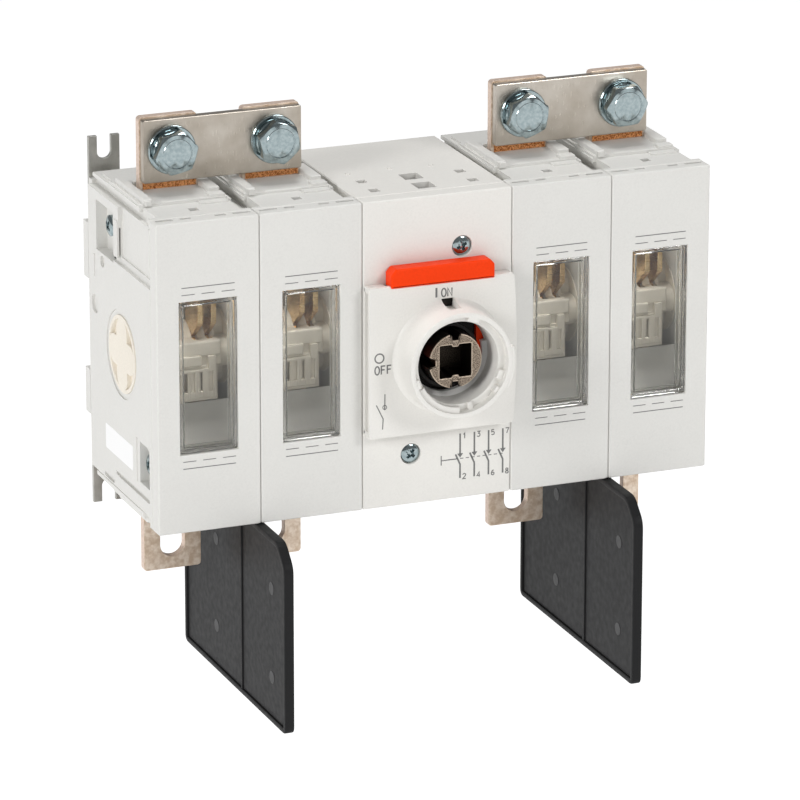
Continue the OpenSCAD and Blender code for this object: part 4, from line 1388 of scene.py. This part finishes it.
    def bolts(self) -> None:
        """Bolts, washers and nuts of the four upper terminals."""
        heads, washers, nuts = Solid(), Solid(), Solid()
        seat = self.front - self.jumper_thick - 2
        for n, turn in zip(POLES, self.turns):
            c = (POLE_X[n], self.bolt_z)
            self.hexagon(heads, c, seat - 6.4, seat - 1.9, turn)
            heads.revolve([(0, seat - 6.1), (6.0, seat - 6.1), (6.0, seat - 6.55), (6.35, seat - 6.6),
                           (6.7, seat - 6.2), (0, seat - 5.9)], c, steps=48)
            heads.revolve([(5.2, seat - 1.95), (8.6, seat - 1.95), (9.0, seat - 1.6), (9.0, seat - 0.4),
                           (8.7, seat - 0.05), (5.2, seat - 0.05)], c, steps=64, start=64, stop=418,
                           ring=True)
            self.thread(heads, c, seat - 0.5, self.back + 12)
            hole, r = 5.3, 10.5
            for low in (seat, self.back):
                washers.revolve([(hole, low + 0.05), (hole, low + 1.95), (r - 0.3, low + 1.95),
                                 (r, low + 1.6), (r, low + 1.15), (r - 0.35, low + 1.0),
                                 (r - 0.05, low + 0.85), (r, low + 0.4), (r - 0.3, low + 0.05)], c, ring=True)
            self.hexagon(nuts, c, self.back + 2, self.back + 10, turn + 17, both=True)
        for solid, name, node in ((heads, "hex_bolts", "terminal_bolts"),
                                  (washers, "flat_washers", "terminal_washers"),
                                  (nuts, "hex_nuts", "terminal_nuts")):
            self.palette.dress(solid.build(name), "zinc_steel", Body.ROOT, (node,))


@dataclass
class Screw:
    """Pan-head screw with a cross and slot recess in its head.

    Attributes:
        radius: radius of the head.
        dome: height of the head.
        deep: depth of the recess.
    """

    radius: float = 4.3
    dome: float = 1.9
    deep: float = 1.5

    def head(self, solid: Solid, centre: Pair, front: float, plane: Plane = Plane.XZ, way: float = 1.0,
             turn: float = 20.0) -> None:
        """Head as a polar grid: a dome less the depth of the recess.

        depth = dome * (1 - sqrt(1 - (0.9 r)^2)) + deep * wing, where wing is 1 inside
        four wide arms, and in four narrow marks between them, and fades over a short ramp.

        Args:
            solid: where it goes.
            centre: its axis.
            front: depth of the head's middle.
            plane: the plane across its axis.
            way: 1 when deeper is positive along the axis, else -1.
            turn: angle of the cross in degrees.
        """
        r = np.concatenate([[0.0], np.linspace(0.04, 0.66, 26), np.linspace(0.72, 1, 6)])
        a = np.radians(np.arange(0, 360, 2.5))
        rr, aa = np.meshgrid(r, a, indexing="ij")
        parts = []
        for angle, half, reach in ((turn, 0.13, 0.58), (turn + 45, 0.035, 0.42)):
            u, v = rr * np.cos(aa - math.radians(angle)), rr * np.sin(aa - math.radians(angle))
            inside = np.clip(0.5 - (np.minimum(abs(u), abs(v)) - half) / 0.05, 0, 1)
            parts.append(inside * np.clip((reach - rr) / 0.06, 0, 1))
        wing = np.maximum(parts[0], 0.35 * parts[1])
        fall = self.dome * (1 - np.sqrt(1 - (0.9 * rr) ** 2))
        depth = front + way * (fall + self.deep * wing)
        flat = np.array(centre) + self.radius * np.stack([rr * np.cos(aa), rr * np.sin(aa)], -1)
        top = in_row(plane, flat, depth)
        base = in_row(plane, flat[-1:], np.full((1, len(a)), front + way * (self.dome + 1.2)))
        solid.grid(np.concatenate([top, base]), wrap_v=True)
        end = base.reshape(-1, 3)
        solid.grid(np.stack([end, np.broadcast_to(end.mean(0), end.shape)]), wrap_v=True)


@dataclass
class Mechanism:
    """The drive module: box, bezel with its boss, coupler, lock and screws.

    Attributes:
        palette: the finishes.
        half: half of the bezel's width.
        bezel_low, bezel_high: heights of the bezel's edges.
        boss_r: radius of the boss.
        coupler_r: radius of the coupler.
        socket: side of the square socket.
        shade_floor: depth past which the whole coupler gets painted shade.
        pointer: left end, right end and top of the pointer slot in the bezel.
        lugs: first angle, last angle, inner reach, front and back of each lug inside the rim.
    """

    palette: Palette
    half: float = 33.7
    bezel_low: float = -34.5
    bezel_high: float = 32.1
    boss_r: float = 23.2
    coupler_r: float = 12.0
    socket: float = 14.4
    shade_floor: float = -103.9
    pointer: Triple = (-1.9, 4.6, 24.2)
    lugs: tuple[tuple[float, ...], ...] = (
        (206, 268, 4.6, 1.2, 4.6), (68, 82, 3.9, 0.2, 3.0), (192, 203, 3.4, 0.2, 3.0),
        (281, 287, 5.4, 2.6, 5.0), (334, 346, 4.8, 2.4, 4.8), (318, 326, 3.4, 1.0, 4.6),
    )

    def build(self) -> None:
        """Builds the drive module's pieces in order."""
        self.box()
        self.bezel()
        self.boss_inside()
        self.coupler()
        self.lock()
        self.screws()
        self.roof_details()

    def box(self) -> None:
        """Finishes the rear shell, the front cover, the gears and the spring."""
        self.palette.repaint("mechanism_housing", "mechanism_plastic", 0.2)
        self.palette.repaint("mechanism_cover", "mechanism_plastic", 0.25)
        for node in ("contact_shaft", "output_gear", "coupler_pin"):
            self.palette.repaint(node, "shaft_steel", 0)
        self.palette.repaint("drive_gear", "drive_plastic", 0)
        self.palette.repaint("torsion_spring", "shaft_steel", 0)

    def bezel(self) -> None:
        """Bezel in one piece, and painted shade behind its pointer slot: a dark plate."""
        solid = Solid()
        self.bezel_plate(solid)
        self.boss(solid)
        self.palette.dress(solid.build("bezel"), "mechanism_plastic", Body.ROOT, ("handle_bezel",))
        # Painted shade: a dark plate behind the pointer slot.
        dark = Solid().box((-3.4, BEZEL_Y + 2.8, 17.6), (6.0, BEZEL_Y + 3.4, 25.6), 0.1)
        self.palette.dress(dark.build("pointer_slot_shade"), "shadow_plastic", Body.ROOT)

    def bezel_plate(self, solid: Solid) -> None:
        """Plate with its round hole and pointer slot, and the walls behind its edges.

        The right edge bulges by 1.5 * (1 - ((z + 1) / 34)^2).

        Args:
            solid: where it goes.
        """
        w, low, high, c = self.half, self.bezel_low, self.bezel_high, (DRIVE_X, AXIS_Z)
        rise = np.linspace(low + 1.2, high - 1.2, 13)
        right = np.stack([w - 1.5 + 1.5 * (1 - ((rise + 1) / 34) ** 2), rise], -1)
        left = [(-w + 0.8, high), (-w + 0.2, high - 0.3), (-w, high - 1), (-w, low + 1),
                (-w + 0.2, low + 0.3), (-w + 0.8, low)]
        outline = np.vstack([[(w - 2.2, low)], right, [(w - 2.2, high)], left])
        hole = circle(c, 20.2, 120)
        angle = np.degrees(np.arctan2(hole[:, 1] - c[1], hole[:, 0] - c[0]))
        start = int(np.argmin(abs(angle - 97)))
        hole, angle = np.roll(hole, -start, 0), np.roll(angle, -start)
        mouth_left, mouth_right, mouth_top = self.pointer
        slot_corners = [(mouth_right, mouth_top), (mouth_left, mouth_top)]
        hole = np.vstack([hole[(angle <= 83.5) | (angle >= 96.5)], slot_corners])
        solid.frame(outline, hole, BEZEL_Y, BEZEL_Y + 2.4, edge=0.4, centre=c)
        for a, b in (((-w + 2.2, BEZEL_Y + 2, low + 0.5), (-w + 4.0, FACE_Y, high - 0.5)),
                     ((w - 3.4, BEZEL_Y + 2, low + 0.5), (w - 1.6, FACE_Y, high - 0.5)),
                     ((-w + 1.0, BEZEL_Y + 2.1, low + 0.4), (w - 1.8, FACE_Y, low + 2.4)),
                     ((-w + 1.0, BEZEL_Y + 2.1, high - 2.4), (-25, FACE_Y, high - 0.4)),
                     ((24, BEZEL_Y + 2.1, high - 2.4), (w - 1.8, FACE_Y, high - 0.4)),
                     ((-w + 0.1, BEZEL_Y + 1, low + 0.1), (-w + 2, FACE_Y, low + 2.6)),
                     ((-w + 0.1, BEZEL_Y + 1, high - 2.6), (-w + 2, FACE_Y, high - 0.1)),
                     ((-w + 0.1, FACE_Y - 1.4, low + 1), (-w + 2, FACE_Y, high - 1))):
            solid.box(a, b, 0.2)

    def boss(self, solid: Solid) -> None:
        """Round boss: rim, flared wall that is open at the pointer slot, sleeve, lugs and grip.

        Args:
            solid: where it goes.
        """
        c, r, f = (DRIVE_X, AXIS_Z), self.boss_r, RIM_Y
        rim = [(r, f + 7), (r, f + 0.6), (r - 0.15, f + 0.2), (r - 0.5, f), (r - 1.7, f), (r - 2.0, f + 0.15),
               (r - 2.15, f + 0.5), (r - 2.15, f + 7)]
        solid.revolve(rim, c, steps=120, ring=True)
        wall = [(r + 2.4, BEZEL_Y + 0.2), (r + 1.5, BEZEL_Y - 0.4), (r + 0.8, BEZEL_Y - 1.4),
                (r + 0.35, BEZEL_Y - 3), (r, BEZEL_Y - 6), (r, f + 6.8), (r - 2.15, f + 6.8),
                (r - 2.15, BEZEL_Y + 2.2), (r + 2.4, BEZEL_Y + 2.2)]
        solid.revolve(wall, c, steps=116, start=97, stop=443, ring=True)
        sleeve = [(r - 2.05, f + 4.2), (r - 4.4, f + 4.2), (r - 4.9, f + 4.4), (r - 5.1, f + 4.9),
                  (r - 5.3, BEZEL_Y + 2.2), (r - 2.05, BEZEL_Y + 2.2)]
        solid.revolve(sleeve, c, steps=120, ring=True)
        for start, stop, inner, front, back in self.lugs:
            lug = [(r - 2.0, f + front), (r - 2.0, f + back), (r - inner, f + back),
                   (r - inner, f + front + 0.3), (r - inner + 0.3, f + front)]
            solid.revolve(lug, c, steps=max(3, int((stop - start) / 3)), start=start, stop=stop, ring=True)
        wing = [(r - 0.3, f + 0.2), (r + 0.9, f + 0.2), (r + 1.2, f + 0.5), (r + 1.2, f + 3.6),
                (r - 0.3, f + 4.4)]
        solid.revolve(wing, c, steps=16, start=-30, stop=14, ring=True)

    def boss_inside(self) -> None:
        """Foot of the sleeve, and painted shade round the coupler: a dark floor and collar."""
        c, solid = (DRIVE_X, AXIS_Z), Solid()
        solid.revolve([(16.2, -96), (16.2, -98.4), (16.6, -98.8), (18.3, -100.6), (18.3, -96)], c, steps=60,
                      start=205, stop=375, ring=True)
        self.palette.dress(solid.build("boss_webs"), "inner_plastic", Body.ROOT)
        # Painted shade: a dark floor and collar round the coupler.
        dark = Solid().revolve([(12.6, -93.2), (12.6, -93.9), (19, -93.9), (19, -93.2)], c, ring=True)
        dark.revolve([(12.4, -93.5), (12.4, -98.6), (12.8, -99), (14.0, -99), (14.4, -98.6), (14.4, -93.5)],
                     c, ring=True)
        self.palette.dress(dark.build("boss_shade"), "shadow_plastic", Body.ROOT)

    def coupler(self) -> None:
        """Sintered coupler: a round plate with a square socket and three keyways, on its shank."""
        c, s, r = np.array([DRIVE_X, AXIS_Z]), self.socket / 2, self.coupler_r
        outline = []
        for angle, way in ((0, 0), (90, 1), (180, 1), (270, 1)):
            a = math.radians(angle)
            turn = np.array([[math.cos(a), -math.sin(a)], [math.sin(a), math.cos(a)]])
            if way:
                mouth = [(r - 0.3, -1.9), (r - 2.4, -1.7), (r - 2.9, -1.2), (r - 2.9, 1.2), (r - 2.4, 1.7),
                         (r - 0.3, 1.9)]
                outline.append(np.array(mouth) @ turn.T)
            arc = np.radians(np.arange(12 if way else -36, 79, 6.0))
            outline.append(r * np.stack([np.cos(arc + a), np.sin(arc + a)], -1))
        outline = np.vstack(outline)
        angles = np.arctan2(outline[:, 1], outline[:, 0]) % TAU
        outline = outline[np.argsort(angles, kind="stable")]
        socket = fillet([(-s, -s), (-1.6, -s), (-1.4, -s + 1.1), (1.4, -s + 1.1), (1.6, -s), (s, -s), (s, s),
                         (1.6, s), (1.4, s - 1.0), (-1.4, s - 1.0), (-1.6, s), (-s, s)], 0.5, 2)
        solid = Solid().frame(outline + c, socket + c, -108.5, -96.4, edge=0.45, centre=tuple(c))
        solid.slab(circle(tuple(c), r, 64), -96.5, -94.2, edge=0.3)
        solid.slab(circle(tuple(c), 8, 48), -94.5, -73, edge=0.3)
        piece = solid.build("coupler")
        # Painted shade in the socket and behind its floor, painted highlight on the rounded edges.
        mark_shade_and_highlight(piece, tuple(c), s + 1.2, self.shade_floor)
        self.palette.dress(piece, "coupler_metal", Body.DRIVE, ("shaft_coupler",))

    def lock(self) -> None:
        """Orange lock: a bar with cut corners above the bezel and a leg on each side of the coupler."""
        bar = fillet([(-24, 31.2), (-24, 37.2), (-21.8, 39.6), (21, 39.6), (23, 37.4), (23, 31.2)], 0.5, 2)
        solid = Solid().slab(bar[::-1], BEZEL_Y - 1, FACE_Y - 0.3, edge=0.9, steps=3)
        for s in (-1, 1):
            x = sorted((DRIVE_X + s * 14.2, DRIVE_X + s * 19))
            solid.box((x[0], -96.6, -14), (x[1], -94.3, 33), 0.3)
        self.palette.dress(solid.build("lock_slide"), "orange_plastic", Body.LOCK, ("shaft_lock",))

    def screws(self) -> None:
        """The two cover screws in their pockets."""
        solid = Solid()
        for (x, z), turn in (((11.2, 44.3), 25.0), ((-12.0, -45.5), 50.0)):
            Screw(4.1, 1.4, 1.6).head(solid, (x, z), FACE_Y + 0.3, turn=turn)
            solid.slab(circle((x, z), 2, 24), FACE_Y + 2.4, -79, edge=0.2)
        self.palette.dress(solid.build("cover_screws"), "zinc_steel", Body.ROOT, ("front_screws",))

    def roof_details(self) -> None:
        """Small nubs on the roof and the floor of the mechanism."""
        solid = Solid()
        for s in (-1, 1):
            for x, y in ((-4, -48), (14, -50), (-24, -50)):
                z = sorted((s * 67.8, s * 68.5))
                solid.box((x - 0.8, y - 0.8, z[0]), (x + 0.8, y + 0.8, z[1]), 0.2)
        self.palette.dress(solid.build("roof_nubs"), "mechanism_plastic", Body.ROOT)


@dataclass
class SidePanels:
    """What lies on the two outer walls: label, nubs and the heads of the tie rods.

    Attributes:
        palette: the finishes.
        wall: distance of the outer walls from the middle.
    """

    palette: Palette
    wall: float = 125.9

    def build(self) -> None:
        """Builds the label, the ribs and the tie rods."""
        self.label()
        self.ribs()
        self.rods()

    def label(self) -> None:
        """Blank label on the left wall."""
        outline = round_rect((-61, -49), (-26, -38), 0.8)
        solid = Solid().slab(outline, -self.wall - 0.08, -self.wall + 0.05, Plane.YZ, edge=0.02)
        self.palette.dress(solid.build("blank_label"), "label_paper", Body.ROOT)

    def ribs(self) -> None:
        """Low ribs and rails that stand on the outer walls."""
        for s, side in ((-1, "left"), (1, "right")):
            solid = Solid()
            for low, high in (((-14.6, 24), (-13.4, 34)), ((-45.2, 40.6), (-40.4, 56.8)),
                              ((-66.6, -52), (-65, -32.5))):
                x = sorted((s * (self.wall - 0.6), s * (self.wall + 0.45)))
                solid.box((x[0], low[0], low[1]), (x[1], high[0], high[1]), 0.2)
            self.palette.dress(solid.build(f"wall_ribs_{side}"), "housing_plastic", Body.ROOT)

    def rods(self) -> None:
        """Tie rods with domed cross heads on the left, and their nuts."""
        solid = Solid()
        for y, z in ((-28, 50), (-76, -42)):
            Screw(4.6, 2.2, 1.6).head(solid, (y, z), -self.wall + 1.2, Plane.YZ, 1.0, 35.0)
            end = self.wall - 0.5 if y > -50 else 129.2
            solid.slab(circle((y, z), 2.5, 24), -self.wall + 4.5, end, Plane.YZ, edge=0.3)
        self.palette.dress(solid.build("tie_rod_screws"), "zinc_steel", Body.ROOT, ("tie_rods",))
        self.palette.repaint("tie_nuts", "zinc_steel", 0.2)


@dataclass
class Barriers:
    """The two phase barriers.

    Attributes:
        palette: the finishes.
        discs: places of the ejector marks as Y and Z.
    """

    palette: Palette
    discs: tuple[Pair, ...] = ((-108, -92), (-108, -132), (-40, -92), (-40, -132))

    def build(self) -> None:
        """Builds each barrier: thin sheet, thick rim, an upright rib, its tongue and the ejector marks."""
        for side, x in (("left", -80.0), ("right", 80.0)):
            node = f"phase_barrier_{side}"
            low, high = (np.array(corner) * 1000 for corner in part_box(node))
            top = -68.4
            outline = fillet([(low[1], top - 9), (low[1], low[2]), (high[1], low[2]), (high[1], top),
                              (low[1] + 9, top)], 3.5, 5)
            solid = Solid().slab(inset(outline, 1.5), x - 1.3, x + 1.3, Plane.YZ, edge=0.1)
            solid.frame(outline, inset(outline, 2.6), x - 2.2, x + 2.2, Plane.YZ, edge=0.7)
            solid.slab(round_rect((-73, low[2] + 1.5), (-71, top - 1), 0.3), x - 1.9, x + 1.9, Plane.YZ,
                       edge=0.4)
            solid.box((x - 1.5, -81.2, top - 1), (x + 1.5, -7, high[2] - 0.6), 0.2)
            solid.box((x - 3.6, -81.2, high[2] - 2.2), (x + 3.6, -7, high[2]), 0.3)
            self.palette.dress(solid.build(f"barrier_{side}"), "barrier_plastic", Body.ROOT, (node,))
            marks = Solid()
            for y, z in self.discs:
                marks.slab(circle((y, z), 2.8, 32), x - 1.42, x + 1.42, Plane.YZ, edge=0.05)
            self.palette.dress(marks.build(f"ejector_marks_{side}"), "rubbed_plastic", Body.ROOT)


@dataclass
class Mounting:
    """Forks and their screws.

    Attributes:
        palette: the finishes.
    """

    palette: Palette

    def build(self) -> None:
        """Finishes the four forks and the screws."""
        self.palette.repaint("mounting_forks", "fork_steel", 0.15)
        self.palette.repaint("fork_screws", "zinc_steel", 0)
        self.palette.repaint("terminal_screws", "zinc_steel", 0.2)


@dataclass(frozen=True)
class Lamp:
    """Square soft light.

    Attributes:
        name: its name.
        place: its position in metres.
        size: its side in metres.
        power: its power in watts.
        aim: where it points.
    """

    name: str
    place: Triple
    size: float
    power: float
    aim: Triple = (0.0, 0.0, 0.0)

    def build(self) -> None:
        """Makes the light and turns it from its place to its aim."""
        light = bpy.data.lights.new(self.name, "AREA")
        light.shape, light.size, light.energy = "SQUARE", self.size, self.power
        lamp = bpy.data.objects.new(self.name, light)
        bpy.context.scene.collection.objects.link(lamp)
        lamp.location = self.place
        way = np.array(self.place) - np.array(self.aim)
        way /= np.linalg.norm(way)
        lamp.rotation_euler = (math.acos(way[2]), 0, math.atan2(way[1], way[0]) + math.pi / 2)


@dataclass
class Studio:
    """Pale floor, soft lights and the camera.

    Attributes:
        lamps: the large soft lights.
        world_light: strength of the even light from all round.
        floor_z: height of the floor in metres.
        floor_glow: light that the floor gives off.
        place: the camera's position in metres.
        azimuth, elevation, roll: its direction in degrees.
        lens: focal length in millimetres on a 36 mm sensor.
    """

    lamps: tuple[Lamp, ...] = (
        Lamp("key", (1.5, -2.6, 1.6), 0.9, 32.0),
        Lamp("fill", (-2.6, -1.2, 1.1), 0.9, 39.0),
        Lamp("top", (0.0, 0.3, 2.6), 0.9, 32.0),
    )
    world_light: float = 0.25
    floor_z: float = -0.30
    floor_glow: float = 0.74
    place: Triple = (-0.89291, -2.28243, 0.74971)
    azimuth: float = -21.8035
    elevation: float = 18.0927
    roll: float = 0.0718
    lens: float = 263.39

    def build(self) -> None:
        """Sets the stage."""
        self.floor()
        self.light()
        self.camera()

    def floor(self) -> None:
        """Wide pale floor with a faint mottle."""
        x = np.linspace(-9, 9, 3) * 1000
        grid = np.stack([*np.meshgrid(x, x, indexing="ij"), np.full((3, 3), self.floor_z * 1000)], -1)
        piece = Solid().grid(grid).build("floor")
        s = Shader("floor")
        shade = s.ramp(s.noise(900, 2), 0.3, 0.7, (0.43, 0.43, 0.43), (0.47, 0.47, 0.47))
        s.link(shade, s.bsdf.inputs["Base Color"])
        s.bsdf.inputs["Emission Color"].default_value = (1, 1, 1, 1)
        s.bsdf.inputs["Emission Strength"].default_value = self.floor_glow
        s.link(s.range(s.noise(60, 2), 0.8, 0.9), s.bsdf.inputs["Roughness"])
        piece.data.materials.append(s.material)

    def light(self) -> None:
        """World light, three soft boxes and a small lamp above each window, inside the pole."""
        world = bpy.data.worlds.new("studio")
        world.use_nodes = True
        background = world.node_tree.nodes["Background"]
        background.inputs["Color"].default_value = (1, 1, 1, 1)
        background.inputs["Strength"].default_value = self.world_light
        bpy.context.scene.world = world
        for lamp in self.lamps:
            lamp.build()
        for n in POLES:
            x = POLE_X[n] * METRES
            Lamp(f"window_lamp_{n}", (x, -0.080, 0.041), 0.008, 0.0075, (x, -0.066, -0.006)).build()
        bpy.context.scene.view_settings.view_transform = "Standard"

    def camera(self) -> None:
        """Camera from its azimuth, elevation and roll."""
        data = bpy.data.cameras.new("camera")
        data.lens, data.sensor_width = self.lens, 36.0
        data.clip_end = 100
        camera = bpy.data.objects.new("camera", data)
        bpy.context.scene.collection.objects.link(camera)
        a, e, r = (math.radians(v) for v in (self.azimuth, self.elevation, self.roll))
        back = np.array([math.sin(a) * math.cos(e), -math.cos(a) * math.cos(e), math.sin(e)])
        right = np.array([math.cos(a), math.sin(a), 0.0])
        up = np.cross(back, right)
        right, up = math.cos(r) * right + math.sin(r) * up, math.cos(r) * up - math.sin(r) * right
        matrix = np.eye(4)
        matrix[:3, 0], matrix[:3, 1], matrix[:3, 2], matrix[:3, 3] = right, up, back, self.place
        camera.matrix_world = Matrix(matrix.tolist())
        bpy.context.scene.camera = camera


def main() -> None:
    """Builds every sub-assembly, then the studio, and reports each piece."""
    logging.basicConfig(level=logging.INFO, format="%(message)s")
    palette = Palette()
    marks = Marks(palette)
    for n in POLES:
        PoleModule(n, palette).build()
        marks.window_lines(n)
        ContactSet(n, palette).build()
    Terminals(palette).build()
    Mechanism(palette).build()
    marks.positions()
    marks.diagram()
    SidePanels(palette).build()
    Barriers(palette).build()
    Mounting(palette).build()
    Studio().build()


if __name__ == "__main__":
    main()
